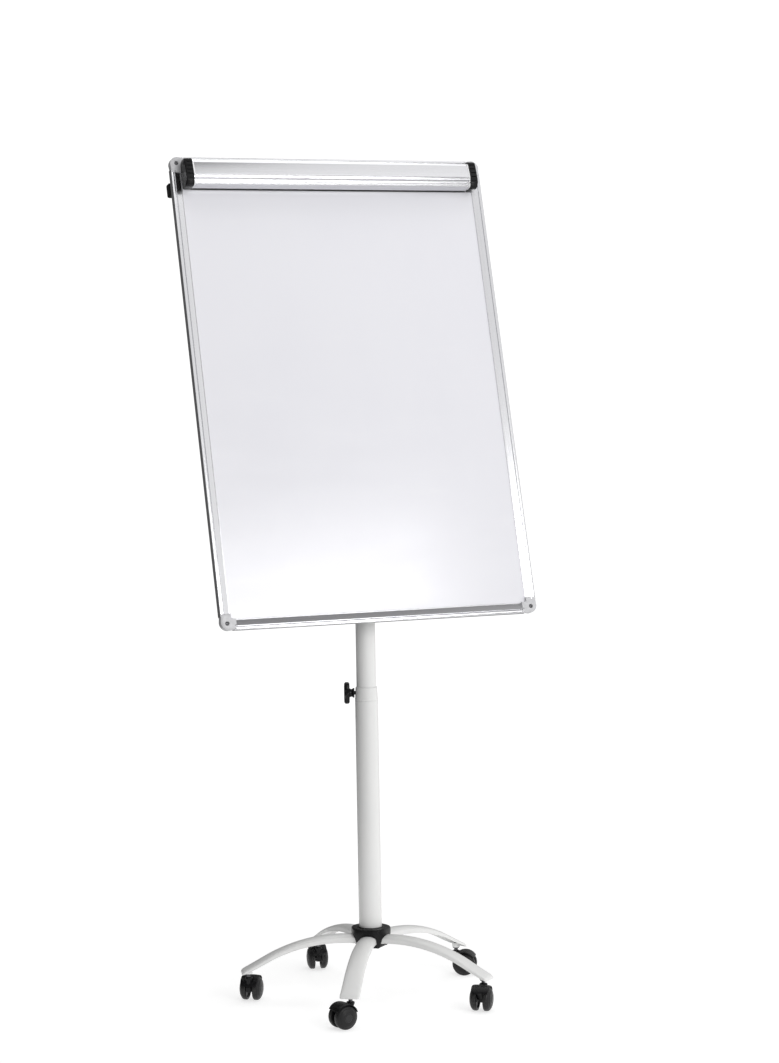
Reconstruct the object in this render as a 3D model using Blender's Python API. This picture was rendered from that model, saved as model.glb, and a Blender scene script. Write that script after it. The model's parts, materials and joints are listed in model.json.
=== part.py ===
"""Mobile flip chart easel: castor base, telescopic column and a tilting whiteboard with a pad clamp.

Units are metres and +Z is up. The board faces -Y and leans back. The origin is on the floor under the
middle of the object's box, and the column stands a little in front of it.
"""

from math import cos, pi, radians, sin, sqrt, tau

import bmesh
import bpy
from mathutils import Vector

GAP = 0.0003  # clearance between neighbouring pieces

# ---- Column -------------------------------------------------------------------------------------
COLUMN_Y = -0.0295
LOWER_R = 0.024
UPPER_R = 0.0205
TUBE_WALL = 0.0015
FOOT_Z = 0.1215
FOOT_PLATE = 0.004
LOWER_TOP_Z = 0.628
COLLAR_TOP_Z = 0.656
COLLAR_TOP_R = 0.0224
COLLAR_SPIGOT = 0.030
UPPER_BOTTOM_Z = 0.340
KNOB_Z = 0.6436
KNOB_TURN_DEG = 113.0  # direction of the height knob, from -Y towards -X
TUBE_SIDES = 32

# ---- Tilt head ----------------------------------------------------------------------------------
LUG_HALF = 0.012  # half the thickness of the lug that the tilt bolt goes through
LUG_R = 0.016
EAR_R = 0.017
EAR_T = 0.003
PLUG_TOP = -0.030  # the upper tube ends here, below the tilt axis

# ---- Base ---------------------------------------------------------------------------------------
LEG_COUNT = 5
LEG_STEP_DEG = 360.0 / LEG_COUNT
FIRST_LEG_DEG = 32.6  # from -Y towards -X
HUB_R = 0.042
HUB_BOTTOM_Z = 0.107
HUB_TOP_Z = 0.149
BOLT_R = 0.005  # the column's bolt and the tilt bolt are the same size
BOLT_HEAD_R = 0.0085
BOLT_SEAT_Z = 0.1150
LEG_ROOT_R = 0.0275
LEG_TIP_R = 0.275
LEG_APEX_R = 0.065
LEG_APEX_Z = 0.1352
LEG_ARC_R = 0.335
LEG_STRAIGHT_R = 0.225  # the arc ends here and the crown runs straight down to the tip
LEG_WALL = 0.0022
LEG_SOLID_R = 0.246  # the pressed channel ends here and the tip is solid
LEG_ROOT_WIDTH = 0.034
LEG_TIP_WIDTH = 0.040
LEG_ROOT_HEIGHT = 0.017
LEG_TIP_HEIGHT = 0.010
LEG_DOME_SHARE = 0.52  # share of the section's height taken by the rounded top
STEM_CIRCLE_R = 0.260
STEM_R = 0.004
STEM_TOP_Z = 0.0705
LEG_BOSS_R = 0.008
LEG_BOSS_Z = 0.0595

# ---- Castors ------------------------------------------------------------------------------------
WHEEL_R = 0.025
WHEEL_SIDES = 20
WHEEL_INNER = 0.0068
WHEEL_OUTER = 0.0240
AXLE_R = 0.003
AXLE_END = 0.0185
CASTOR_TRAIL = 0.019
HOOD_TOP_Z = 0.0525
CASTOR_TRAIL_DEG = (80.0, 217.0, 195.0, 305.0, 39.0)  # from -Y towards -X, one for each leg

# ---- Board --------------------------------------------------------------------------------------
BOARD_W = 0.700
BOARD_H = 1.000
BOARD_TILT_DEG = 15.0
PIVOT_UP = 0.175  # tilt axis above the board's lower edge, along the board
PIVOT_BACK = 0.0305  # tilt axis behind the frame's back
PIVOT_Z = 0.9575
FRAME_DEPTH = 0.022
RAIL_W = 0.023
SHEET_RECESS = 0.0045  # writing surface behind the frame's front
SHEET_T = 0.0005
CORE_T = 0.0100
PANEL_INSET = 0.007  # panel edge inside the frame's outer edge
CORNER_SIZE = 0.034
CORNER_R = 0.017
CORNER_PROUD = 0.0008

# ---- Pad clamp ----------------------------------------------------------------------------------
CLAMP_HALF = 0.3155
CAP_T = 0.0172
HINGE_N = 0.0110  # hinge axis in front of the frame
HINGE_V = 0.9790  # hinge axis above the board's lower edge
HINGE_PIN_R = 0.0025
LUG_U = 0.3115  # outer face of each hinge lug
HOOK_U = 0.165

# ---- Side arms ----------------------------------------------------------------------------------
ARM_V = 0.9365
ARM_HEIGHT = 0.0285
ARM_GUIDE_DEPTH = 0.0165
ARM_GUIDE_HALF = 0.3405
ARM_INNER_U = 0.012
ARM_END_U = 0.3545


# ---- Small helpers ------------------------------------------------------------------------------
def clear_scene():
    for obj in list(bpy.data.objects):
        bpy.data.objects.remove(obj, do_unlink=True)


def finish(name, color, roughness, metallic=0.0):
    """A Principled material."""
    mat = bpy.data.materials.new(name)
    mat.use_nodes = True
    shader = mat.node_tree.nodes["Principled BSDF"]
    shader.inputs["Base Color"].default_value = (*color, 1.0)
    shader.inputs["Roughness"].default_value = roughness
    shader.inputs["Metallic"].default_value = metallic
    return mat


def empty(name, parent=None, location=(0.0, 0.0, 0.0), rotation=(0.0, 0.0, 0.0)):
    obj = bpy.data.objects.new(name, None)
    bpy.context.collection.objects.link(obj)
    obj.parent = parent
    obj.location = location
    obj.rotation_euler = rotation
    return obj


def place(name, mesh, mat, parent, location=(0.0, 0.0, 0.0), rotation=(0.0, 0.0, 0.0)):
    """A named object with its material, on its parent."""
    obj = bpy.data.objects.new(name, mesh)
    bpy.context.collection.objects.link(obj)
    if not mesh.materials:
        mesh.materials.append(mat)
    obj.parent = parent
    obj.location = location
    obj.rotation_euler = rotation
    return obj


def to_mesh(bm, name, smooth_deg=None):
    """The finished mesh, with every face turned outwards."""
    bmesh.ops.recalc_face_normals(bm, faces=bm.faces)
    if bm.calc_volume(signed=True) < 0.0:
        bmesh.ops.reverse_faces(bm, faces=bm.faces)
    mesh = bpy.data.meshes.new(name)
    bm.to_mesh(mesh)
    bm.free()
    if smooth_deg is not None:
        mesh.shade_smooth()
        mesh.set_sharp_from_angle(angle=radians(smooth_deg))
    return mesh


def turned(name, profile, steps, axis="Z", half_step=False):
    """A profile of (radius, height) points, from axis to axis or closed, spun about an axis."""
    bm = bmesh.new()
    start = pi / steps if half_step else 0.0
    verts = [bm.verts.new((r * cos(start), r * sin(start), h)) for r, h in profile]
    edges = [bm.edges.new(pair) for pair in zip(verts, verts[1:])]
    if profile[0][0] > 0.0:
        edges.append(bm.edges.new((verts[-1], verts[0])))
    bmesh.ops.spin(bm, geom=verts + edges, axis=(0, 0, 1), angle=tau, steps=steps, use_merge=True)
    bmesh.ops.remove_doubles(bm, verts=bm.verts, dist=1e-6)
    if axis == "X":
        turn_axes(bm, lambda c: Vector((c.z, c.x, c.y)))
    if axis == "Y":
        turn_axes(bm, lambda c: Vector((c.y, c.z, c.x)))
    return to_mesh(bm, name, 35.0)


def turn_axes(bm, swap):
    for vert in bm.verts:
        vert.co = swap(vert.co)


def tube_profile(outer, inner, low, high):
    return [(outer, high), (outer, low), (inner, low), (inner, high)]


def rod_profile(radius, low, high):
    return [(0.0, high), (radius, high), (radius, low), (0.0, low)]


def extruded(name, outline, vector, smooth_deg=None):
    """A flat outline of 3-D points pushed along a vector."""
    bm = bmesh.new()
    face = bm.faces.new([bm.verts.new(p) for p in outline])
    grown = bmesh.ops.extrude_face_region(bm, geom=[face])
    moved = [item for item in grown["geom"] if isinstance(item, bmesh.types.BMVert)]
    bmesh.ops.translate(bm, verts=moved, vec=vector)
    return to_mesh(bm, name, smooth_deg)


def box(name, low, high):
    """A box between two corners."""
    outline = [(low[0], low[1], low[2]), (high[0], low[1], low[2])]
    outline += [(high[0], high[1], low[2]), (low[0], high[1], low[2])]
    return extruded(name, outline, (0.0, 0.0, high[2] - low[2]))


def arc(center, radius, start_deg, end_deg, steps):
    """Points (a, b) on an arc, both ends included."""
    points = []
    for i in range(steps + 1):
        angle = radians(start_deg + (end_deg - start_deg) * i / steps)
        points.append((center[0] + radius * cos(angle), center[1] + radius * sin(angle)))
    return points


def tool(name, mesh, parent, location=(0.0, 0.0, 0.0), rotation=(0.0, 0.0, 0.0)):
    """A cutter or a solid to be joined on: never part of the model itself."""
    obj = bpy.data.objects.new(name, mesh)
    bpy.context.collection.objects.link(obj)
    obj.parent = parent
    obj.location = location
    obj.rotation_euler = rotation
    obj.hide_render = True
    obj.display_type = "WIRE"
    return obj


def combine(obj, other, operation):
    mod = obj.modifiers.new(operation.lower() + "_" + other.name, "BOOLEAN")
    mod.operation = operation
    mod.solver = "EXACT"
    mod.object = other


def cut(obj, cutter):
    combine(obj, cutter, "DIFFERENCE")


def join(obj, other):
    combine(obj, other, "UNION")


def heading(degrees):
    """Rotation about Z that turns local +X to a direction given from -Y towards -X."""
    return (0.0, 0.0, radians(270.0 - degrees))


def leg_heading(index):
    return heading(FIRST_LEG_DEG + LEG_STEP_DEG * index)


# ---- Base ---------------------------------------------------------------------------------------
def leg_crown(radius):
    """Height of a leg's crown line: an arc over the floor, then a straight run to the tip."""
    across = min(radius, LEG_STRAIGHT_R) - LEG_APEX_R
    rise = sqrt(LEG_ARC_R**2 - across**2)
    straight = max(0.0, radius - LEG_STRAIGHT_R)
    return LEG_APEX_Z - LEG_ARC_R + rise - straight * across / rise


def leg_section(radius, inset=0.0, drop=0.0):
    """A domed section at one radius: walls, then half an ellipse over the top."""
    share = (radius - LEG_ROOT_R) / (LEG_TIP_R - LEG_ROOT_R)
    half = 0.5 * (LEG_ROOT_WIDTH + (LEG_TIP_WIDTH - LEG_ROOT_WIDTH) * share) - inset
    height = LEG_ROOT_HEIGHT + (LEG_TIP_HEIGHT - LEG_ROOT_HEIGHT) * share
    crown = leg_crown(radius) - inset
    spring = crown - LEG_DOME_SHARE * height
    foot = leg_crown(radius) - height - drop
    points = [(-half, foot)]
    dome_steps = 6
    for i in range(dome_steps + 1):
        angle = pi - pi * i / dome_steps
        points.append((half * cos(angle), spring + (crown - spring) * sin(angle)))
    points.append((half, foot))
    return [Vector((radius, y, z)) for y, z in points]


def leg_sweep(name, start, end, stations, inset=0.0, drop=0.0):
    """A solid through the leg's sections between two radii."""
    bm = bmesh.new()
    rings = []
    for i in range(stations):
        radius = start + (end - start) * i / (stations - 1)
        rings.append([bm.verts.new(p) for p in leg_section(radius, inset, drop)])
    for ring, following in zip(rings, rings[1:]):
        for i in range(len(ring)):
            j = (i + 1) % len(ring)
            bm.faces.new((ring[i], ring[j], following[j], following[i]))
    bm.faces.new(rings[0])
    bm.faces.new(rings[-1])
    return to_mesh(bm, name, 40.0)


def build_hub(base, black):
    rim = 0.003
    bore = LOWER_R + GAP
    seat = FOOT_Z - GAP
    bolt_hole = BOLT_R + GAP
    recess = BOLT_HEAD_R + 0.0015
    profile = [(HUB_R - rim, HUB_TOP_Z), (HUB_R, HUB_TOP_Z - rim)]
    profile += [(HUB_R, 0.128), (HUB_R - 0.006, HUB_BOTTOM_Z), (recess, HUB_BOTTOM_Z)]
    profile += [(recess, BOLT_SEAT_Z), (bolt_hole, BOLT_SEAT_Z)]
    profile += [(bolt_hole, seat), (bore, seat), (bore, HUB_TOP_Z)]
    hub = place("hub", turned("hub", profile, 40), black, base)
    pocket = leg_sweep("leg_pocket", LEG_ROOT_R - GAP, 0.060, 3, inset=-0.0004, drop=0.012)
    for index in range(LEG_COUNT):
        cutter = tool(f"leg_pocket_{index + 1}", pocket, base, rotation=leg_heading(index))
        cut(hub, cutter)


def build_column_bolt(base, steel):
    """Bolt that holds the column's foot down on the hub; its head is sunk in the hub's underside."""
    head_top = BOLT_SEAT_Z - GAP
    head_low = head_top - 0.0055
    tip = 0.150
    profile = [(0.0, tip), (BOLT_R, tip - 0.001), (BOLT_R, head_top), (BOLT_HEAD_R, head_top)]
    profile += [(BOLT_HEAD_R, head_low), (0.0, head_low)]
    place("column_bolt", turned("column_bolt", profile, 12), steel, base)


def build_legs(base, white):
    skin = leg_sweep("leg", LEG_ROOT_R, LEG_TIP_R, 9)
    hollow_start = LEG_ROOT_R - 0.002
    hollow = leg_sweep("leg_hollow", hollow_start, LEG_SOLID_R, 8, inset=LEG_WALL, drop=0.004)
    boss = turned("leg_boss", rod_profile(LEG_BOSS_R, LEG_BOSS_Z, STEM_TOP_Z - 0.001), 20)
    hole = turned("leg_stem_hole", rod_profile(STEM_R + GAP, 0.050, STEM_TOP_Z + 0.001), 16)
    for index in range(LEG_COUNT):
        number = index + 1
        turn = leg_heading(index)
        leg = place(f"leg_{number}", skin.copy(), white, base, rotation=turn)
        axis = empty(f"castor_place_{number}", base, rotation=turn)
        seat = (STEM_CIRCLE_R, 0.0, 0.0)
        cut(leg, tool(f"leg_hollow_{number}", hollow, base, rotation=turn))
        join(leg, tool(f"leg_boss_{number}", boss, axis, location=seat))
        cut(leg, tool(f"leg_stem_hole_{number}", hole, axis, location=seat))


# ---- Castors ------------------------------------------------------------------------------------
def castor_seat(index):
    """Where a castor's swivel axis meets the floor."""
    angle = radians(FIRST_LEG_DEG + LEG_STEP_DEG * index)
    return (-STEM_CIRCLE_R * sin(angle), -STEM_CIRCLE_R * cos(angle), 0.0)


def castor_stem_mesh():
    flange_r = 0.0065
    flange_top = LEG_BOSS_Z - GAP
    flange_low = flange_top - 0.002
    low = HOOD_TOP_Z - 0.0115
    profile = [(0.0, STEM_TOP_Z), (STEM_R - 0.001, STEM_TOP_Z), (STEM_R, STEM_TOP_Z - 0.001)]
    profile += [(STEM_R, flange_top)]
    profile += [(flange_r, flange_top), (flange_r, flange_low), (STEM_R, flange_low)]
    profile += [(STEM_R, low), (0.0, low)]
    return turned("castor_stem", profile, 16)


def hood_outline():
    """Side outline of the hood's middle web: over the axle, up to the swivel boss."""
    axle = (CASTOR_TRAIL, WHEEL_R)
    outer = WHEEL_R + 0.0022
    points = arc(axle, outer, 172.0, 30.0, 10)
    points += arc(axle, 0.0085, 0.0, -150.0, 5)
    points += [(CASTOR_TRAIL - outer + 0.001, 0.0215)]
    return points


def build_castor_body(name, black, parent):
    """Hood web, wheel guards, swivel boss and axle of one castor, as one moulding."""
    web_half = WHEEL_INNER - GAP * 3
    outline = [(x, -web_half, z) for x, z in hood_outline()]
    body = place(name, extruded(name, outline, (0.0, 2 * web_half, 0.0)), black, parent)
    guard_half = 0.0205
    axle = (CASTOR_TRAIL, WHEEL_R)
    ring = arc(axle, WHEEL_R + 0.0024, 158.0, 38.0, 8) + arc(axle, WHEEL_R + 0.0008, 38.0, 158.0, 8)
    guard = extruded(name + "_guard", [(x, -guard_half, z) for x, z in ring], (0.0, 2 * guard_half, 0.0))
    join(body, tool(name + "_guard", guard, parent))
    neck_r = web_half
    flare = [(0.0, HOOD_TOP_Z), (0.0075, HOOD_TOP_Z), (0.0085, HOOD_TOP_Z - 0.001), (0.0085, 0.0490)]
    flare += [(neck_r, 0.0485), (neck_r, 0.0300), (0.0, 0.0300)]
    join(body, tool(name + "_boss", turned(name + "_boss", flare, 20), parent))
    axle_rod = turned(name + "_axle", rod_profile(AXLE_R, -AXLE_END, AXLE_END), 12, axis="Y")
    join(body, tool(name + "_axle", axle_rod, parent, location=(CASTOR_TRAIL, 0.0, WHEEL_R)))
    socket = turned(name + "_socket", rod_profile(STEM_R + GAP, HOOD_TOP_Z - 0.012, 0.060), 16)
    cut(body, tool(name + "_socket", socket, parent))


def wheel_mesh(name, side):
    """One wheel of a twin castor; side is +1 or -1 along the axle. It stands on a flat of its rim."""
    rim = WHEEL_R / cos(pi / WHEEL_SIDES)
    bore = AXLE_R + GAP
    end = AXLE_END + GAP
    profile = [(0.0, WHEEL_OUTER), (0.016, WHEEL_OUTER - 0.001), (rim - 0.001, 0.0205), (rim, 0.018)]
    profile += [(rim, 0.009), (rim - 0.0016, WHEEL_INNER), (bore, WHEEL_INNER), (bore, end), (0.0, end)]
    placed = [(r, side * h) for r, h in profile]
    return turned(name, placed, WHEEL_SIDES, axis="Y", half_step=True)


def build_castors(base, steel, black, rubber):
    stem = castor_stem_mesh()
    wheels = {"left": wheel_mesh("wheel_left", 1.0), "right": wheel_mesh("wheel_right", -1.0)}
    for index in range(LEG_COUNT):
        number = index + 1
        seat = castor_seat(index)
        place(f"castor_stem_{number}", stem, steel, base, location=seat)
        swivel = empty(f"castor_swivel_{number}", base, seat, heading(CASTOR_TRAIL_DEG[index]))
        build_castor_body(f"castor_body_{number}", black, swivel)
        for side, mesh in wheels.items():
            at = (CASTOR_TRAIL, 0.0, WHEEL_R)
            place(f"castor_wheel_{number}_{side}", mesh, rubber, swivel, location=at)


# ---- Column -------------------------------------------------------------------------------------
def build_lower_tube(base, white):
    inner = LOWER_R - TUBE_WALL
    hole = BOLT_R + GAP
    profile = [(LOWER_R, LOWER_TOP_Z), (LOWER_R, FOOT_Z), (hole, FOOT_Z)]
    profile += [(hole, FOOT_Z + FOOT_PLATE), (inner, FOOT_Z + FOOT_PLATE), (inner, LOWER_TOP_Z)]
    place("lower_tube", turned("lower_tube", profile, TUBE_SIDES), white, base)


def build_height_collar(base, white):
    """Tapered ring on the lower tube's top, with a spigot inside it and a hole for the knob's screw."""
    shoulder = LOWER_TOP_Z + GAP
    spigot_r = LOWER_R - TUBE_WALL - GAP
    bore = UPPER_R + GAP
    profile = [(COLLAR_TOP_R, COLLAR_TOP_Z), (LOWER_R, shoulder + 0.004), (LOWER_R, shoulder)]
    profile += [(spigot_r, shoulder), (spigot_r, LOWER_TOP_Z - COLLAR_SPIGOT)]
    profile += [(bore, LOWER_TOP_Z - COLLAR_SPIGOT), (bore, COLLAR_TOP_Z)]
    collar = place("height_collar", turned("height_collar", profile, TUBE_SIDES), white, base)
    hole = turned("collar_screw_hole", rod_profile(0.0043, 0.010, 0.040), 16, axis="X")
    turn = heading(KNOB_TURN_DEG)
    cut(collar, tool("collar_screw_hole", hole, base, (0.0, 0.0, KNOB_Z), turn))


def star_outline(radius, lobes, depth, steps):
    """Points (a, b) of a lobed knob's rim."""
    points = []
    for i in range(lobes * steps):
        angle = tau * i / (lobes * steps)
        swell = radius - depth * (0.5 - 0.5 * cos(lobes * angle))
        points.append((swell * cos(angle), swell * sin(angle)))
    return points


def build_knob(name, radius, disc_low, disc_high, boss, screw, black, parent, location, rotation):
    """A star knob whose axis is its local X; boss and screw are (radius, start, end) along it."""
    rim = [(disc_low, a, b) for a, b in star_outline(radius, 6, 0.0045, 6)]
    mesh = extruded(name, rim, (disc_high - disc_low, 0.0, 0.0), 30.0)
    knob = place(name, mesh, black, parent, location, rotation)
    boss_r, boss_start, boss_end = boss
    stud = turned(name + "_boss", rod_profile(boss_r, boss_start, boss_end), 16, axis="X")
    join(knob, tool(name + "_boss", stud, parent, location, rotation))
    if screw:
        screw_r, screw_start, screw_end = screw
        shank = turned(name + "_screw", rod_profile(screw_r, screw_start, screw_end), 12, axis="X")
        join(knob, tool(name + "_screw", shank, parent, location, rotation))
    return knob


def build_height_knob(base, black):
    place_at = (0.0, 0.0, KNOB_Z)
    boss = (0.0078, LOWER_R + 0.0012, 0.0345)
    screw = (0.0040, UPPER_R + GAP * 2, 0.030)
    turn = heading(KNOB_TURN_DEG)
    build_knob("height_knob", 0.0242, 0.0335, 0.0465, boss, screw, black, base, place_at, turn)


def build_guide_bush(slide, nylon):
    """Bush under the upper tube's end: it slides in the lower tube and the upper tube turns on it."""
    outer = LOWER_R - TUBE_WALL - GAP
    spigot = UPPER_R - TUBE_WALL - GAP
    bore = spigot - 0.003
    top = UPPER_BOTTOM_Z - GAP
    low = top - 0.014
    profile = [(spigot, top + 0.030), (spigot, top), (outer, top), (outer, low)]
    profile += [(bore, low), (bore, top + 0.030)]
    place("guide_bush", turned("guide_bush", profile, TUBE_SIDES), nylon, slide)


def build_upper_tube(turn, white):
    top = PIVOT_Z + PLUG_TOP
    profile = tube_profile(UPPER_R, UPPER_R - TUBE_WALL, UPPER_BOTTOM_Z, top)
    place("upper_tube", turned("upper_tube", profile, TUBE_SIDES), white, turn)


# ---- Tilt head ----------------------------------------------------------------------------------
def build_tilt_head(turn, black):
    """Casting in the column's top: a plug, a flange and a lug with the tilt axis through it."""
    tube_top = PLUG_TOP
    plug_r = UPPER_R - TUBE_WALL - GAP
    flange_r = UPPER_R + 0.0012
    flange_top = tube_top + 0.006
    profile = [(0.0, flange_top), (flange_r, flange_top), (flange_r, tube_top + GAP)]
    profile += [(plug_r, tube_top + GAP), (plug_r, tube_top - 0.035), (0.0, tube_top - 0.035)]
    pivot = (0.0, 0.0, PIVOT_Z)
    head = place("tilt_head", turned("tilt_head", profile, TUBE_SIDES), black, turn, pivot)
    side = [(-LUG_R, flange_top - 0.002)] + arc((0.0, 0.0), LUG_R, 180.0, 0.0, 10)
    side += [(LUG_R, flange_top - 0.002)]
    outline = [(-LUG_HALF, y, z) for y, z in side]
    lug = extruded("tilt_lug", outline, (2 * LUG_HALF, 0.0, 0.0), 30.0)
    join(head, tool("tilt_lug", lug, turn, pivot))
    hole = turned("tilt_lug_hole", rod_profile(BOLT_R + GAP, -0.030, 0.030), 16, axis="X")
    cut(head, tool("tilt_lug_hole", hole, turn, pivot))


def build_tilt_bolt(turn, steel):
    """Cross bolt through the lug and both ears; its head is on the left."""
    ear_out = LUG_HALF + GAP + EAR_T
    head = (-ear_out - GAP - 0.006, -ear_out - GAP)
    tip = ear_out + 0.022
    profile = [(0.0, tip), (BOLT_R, tip - 0.001), (BOLT_R, head[1]), (BOLT_HEAD_R, head[1])]
    profile += [(BOLT_HEAD_R, head[0]), (0.0, head[0])]
    mesh = turned("tilt_bolt", profile, 12, axis="X")
    place("tilt_bolt", mesh, steel, turn, (0.0, 0.0, PIVOT_Z))


def build_tilt_knob(turn, black):
    """Star knob screwed on the tilt bolt, with a blind hole for its thread."""
    start = LUG_HALF + GAP + EAR_T + GAP
    boss = (0.0085, start, start + 0.012)
    at = (0.0, 0.0, PIVOT_Z)
    rest = (0.0, 0.0, 0.0)
    knob = build_knob(
        "tilt_knob", 0.0230, start + 0.010, start + 0.024, boss, None, black, turn, at, rest
    )
    hole = turned("tilt_knob_hole", rod_profile(BOLT_R + GAP, 0.0, start + 0.0225), 16, axis="X")
    cut(knob, tool("tilt_knob_hole", hole, turn, at))


# ---- Board --------------------------------------------------------------------------------------
def on_board(across, front, up):
    """A place in the tilt axis's frame: across the board, in front of the frame, above its lower edge."""
    return (across, -(PIVOT_BACK + FRAME_DEPTH) - front, up - PIVOT_UP)


def board_box(name, across, front, up):
    """A box from (low, high) ranges across, in front of the frame and up the board."""
    low = on_board(across[0], front[1], up[0])
    high = on_board(across[1], front[0], up[1])
    return box(name, low, high)


def build_board_bracket(board, steel):
    """Plate on the board's back with two ears that hold the tilt bolt."""
    back = -(SHEET_RECESS + 2 * SHEET_T + CORE_T) - 4 * GAP
    plate = board_box("board_bracket", (-0.055, 0.055), (back - 0.0025, back), (0.105, 0.285))
    bracket = place("board_bracket", plate, steel, board)
    root = on_board(0.0, back - 0.001, PIVOT_UP)[1]
    side = [(root, -EAR_R)] + arc((0.0, 0.0), EAR_R, 270.0, 400.0, 7) + [(root, 0.045)]
    for name, start in (("left", -LUG_HALF - GAP - EAR_T), ("right", LUG_HALF + GAP)):
        outline = [(start, y, z) for y, z in side]
        ear = extruded("bracket_ear_" + name, outline, (EAR_T, 0.0, 0.0), 30.0)
        join(bracket, tool("bracket_ear_" + name, ear, board))
    hole = turned("bracket_bolt_hole", rod_profile(BOLT_R + GAP, -0.030, 0.030), 16, axis="X")
    cut(bracket, tool("bracket_bolt_hole", hole, board))


def build_panel(board, enamel, hardboard, zinc):
    """Writing sheet, core and back sheet, one behind the other."""
    half = 0.5 * BOARD_W - PANEL_INSET
    across = (-half, half)
    up = (PANEL_INSET, BOARD_H - PANEL_INSET)
    layers = [("writing_sheet", SHEET_T, enamel), ("board_core", CORE_T, hardboard)]
    layers += [("back_sheet", SHEET_T, zinc)]
    front = -SHEET_RECESS
    for name, thickness, mat in layers:
        place(name, board_box(name, across, (front - thickness, front), up), mat, board)
        front -= thickness + GAP


def rail_section():
    """(inward, front) outline of the frame's profile: rounded back, front bead, groove and inner slope."""
    lip = -SHEET_RECESS + GAP
    panel_back = -(SHEET_RECESS + 2 * SHEET_T + CORE_T + 3 * GAP)
    slot = PANEL_INSET - GAP
    outer = [(0.0, -FRAME_DEPTH + 0.002), (0.0, -0.004), (0.0012, -0.0012), (0.004, 0.0)]
    bead = [(0.0075, -0.0005), (0.0085, -0.0018), (0.0095, -0.0012)]
    inner = [(0.0210, -0.0026), (RAIL_W, -0.0036), (RAIL_W, lip)]
    channel = [(slot, lip), (slot, panel_back), (0.018, panel_back)]
    back = [(0.018, -FRAME_DEPTH + 0.001), (0.017, -FRAME_DEPTH), (0.002, -FRAME_DEPTH)]
    return outer + bead + inner + channel + back


def build_rails(board, aluminium):
    """Four lengths of the frame's profile between the corner pieces."""
    section = rail_section()
    side_run = (CORNER_SIZE + GAP, BOARD_H - CORNER_SIZE - GAP)
    cross = 0.5 * BOARD_W - CORNER_SIZE - GAP
    for name, sign in (("rail_left", -1.0), ("rail_right", 1.0)):
        edge = 0.5 * BOARD_W
        outline = [on_board(sign * (edge - inward), front, side_run[0]) for inward, front in section]
        mesh = extruded(name, outline, (0.0, 0.0, side_run[1] - side_run[0]))
        place(name, mesh, aluminium, board)
    for name, start, sign in (("rail_bottom", 0.0, 1.0), ("rail_top", BOARD_H, -1.0)):
        outline = [on_board(-cross, front, start + sign * inward) for inward, front in section]
        place(name, extruded(name, outline, (2 * cross, 0.0, 0.0)), aluminium, board)


def build_corners(board, plastic):
    """Moulded corner pieces: rounded outside, with a slot for the panel."""
    size = CORNER_SIZE
    inner = RAIL_W + 0.0006
    shape = arc((CORNER_R, CORNER_R), CORNER_R, 180.0, 270.0, 6)
    shape += [(size, 0.0), (size, inner)]
    shape += arc((inner + 0.005, inner + 0.005), 0.005, 270.0, 180.0, 3)[1:-1]
    shape += [(inner, size), (0.0, size)]
    slot_back = -(SHEET_RECESS + 2 * SHEET_T + CORE_T + 3 * GAP)
    slot_from = PANEL_INSET - GAP
    for across_name, across_sign in (("left", -1.0), ("right", 1.0)):
        for up_name, up_start, up_sign in (("bottom", 0.0, 1.0), ("top", BOARD_H, -1.0)):
            name = f"corner_{up_name}_{across_name}"
            outline = []
            for inward, along in shape:
                across = across_sign * (0.5 * BOARD_W - inward)
                outline.append(on_board(across, CORNER_PROUD, up_start + up_sign * along))
            depth = FRAME_DEPTH + CORNER_PROUD
            corner = place(name, extruded(name, outline, (0.0, depth, 0.0)), plastic, board)
            across = sorted((across_sign * (0.5 * BOARD_W - slot_from), across_sign * 0.300))
            up = sorted((up_start + up_sign * slot_from, up_start + up_sign * 0.050))
            slot = board_box(name + "_slot", across, (slot_back, -SHEET_RECESS + GAP), up)
            cut(corner, tool(name + "_slot", slot, board))


# ---- Pad clamp ----------------------------------------------------------------------------------
def clamp_skin():
    """(front, up) points of the clamp's outer face, from its top back edge round to its lower lip."""
    top = [(0.0095, 0.9875), (0.0240, 0.9875), (0.0280, 0.9860), (0.0302, 0.9825)]
    ridge = [(0.0330, 0.9490), (0.0332, 0.9450)]
    groove = [(0.0312, 0.9425), (0.0312, 0.9405), (0.0330, 0.9380)]
    bead = arc((0.0230, 0.9370), 0.0100, 0.0, -90.0, 5)[1:]
    return top + ridge + groove + bead + [(0.0100, 0.9270), (0.0010, 0.9275)]


def clamp_inside():
    """(front, up) points of the clamp's hollow side, from its lower lip back up to its top edge."""
    lip = [(0.0010, 0.9297), (0.0220, 0.9296)]
    web = arc((0.0230, 0.9375), 0.0078, -80.0, 0.0, 3)
    return lip + web + [(0.0278, 0.9820), (0.0230, 0.9853), (0.0095, 0.9853)]


def on_clamp(across, front, up):
    """A place in the clamp hinge's frame."""
    return (across, HINGE_N - front, up - HINGE_V)


def clamp_solid(name, outline, start, end):
    points = [on_clamp(start, front, up) for front, up in outline]
    return extruded(name, points, (end - start, 0.0, 0.0), 25.0)


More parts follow.
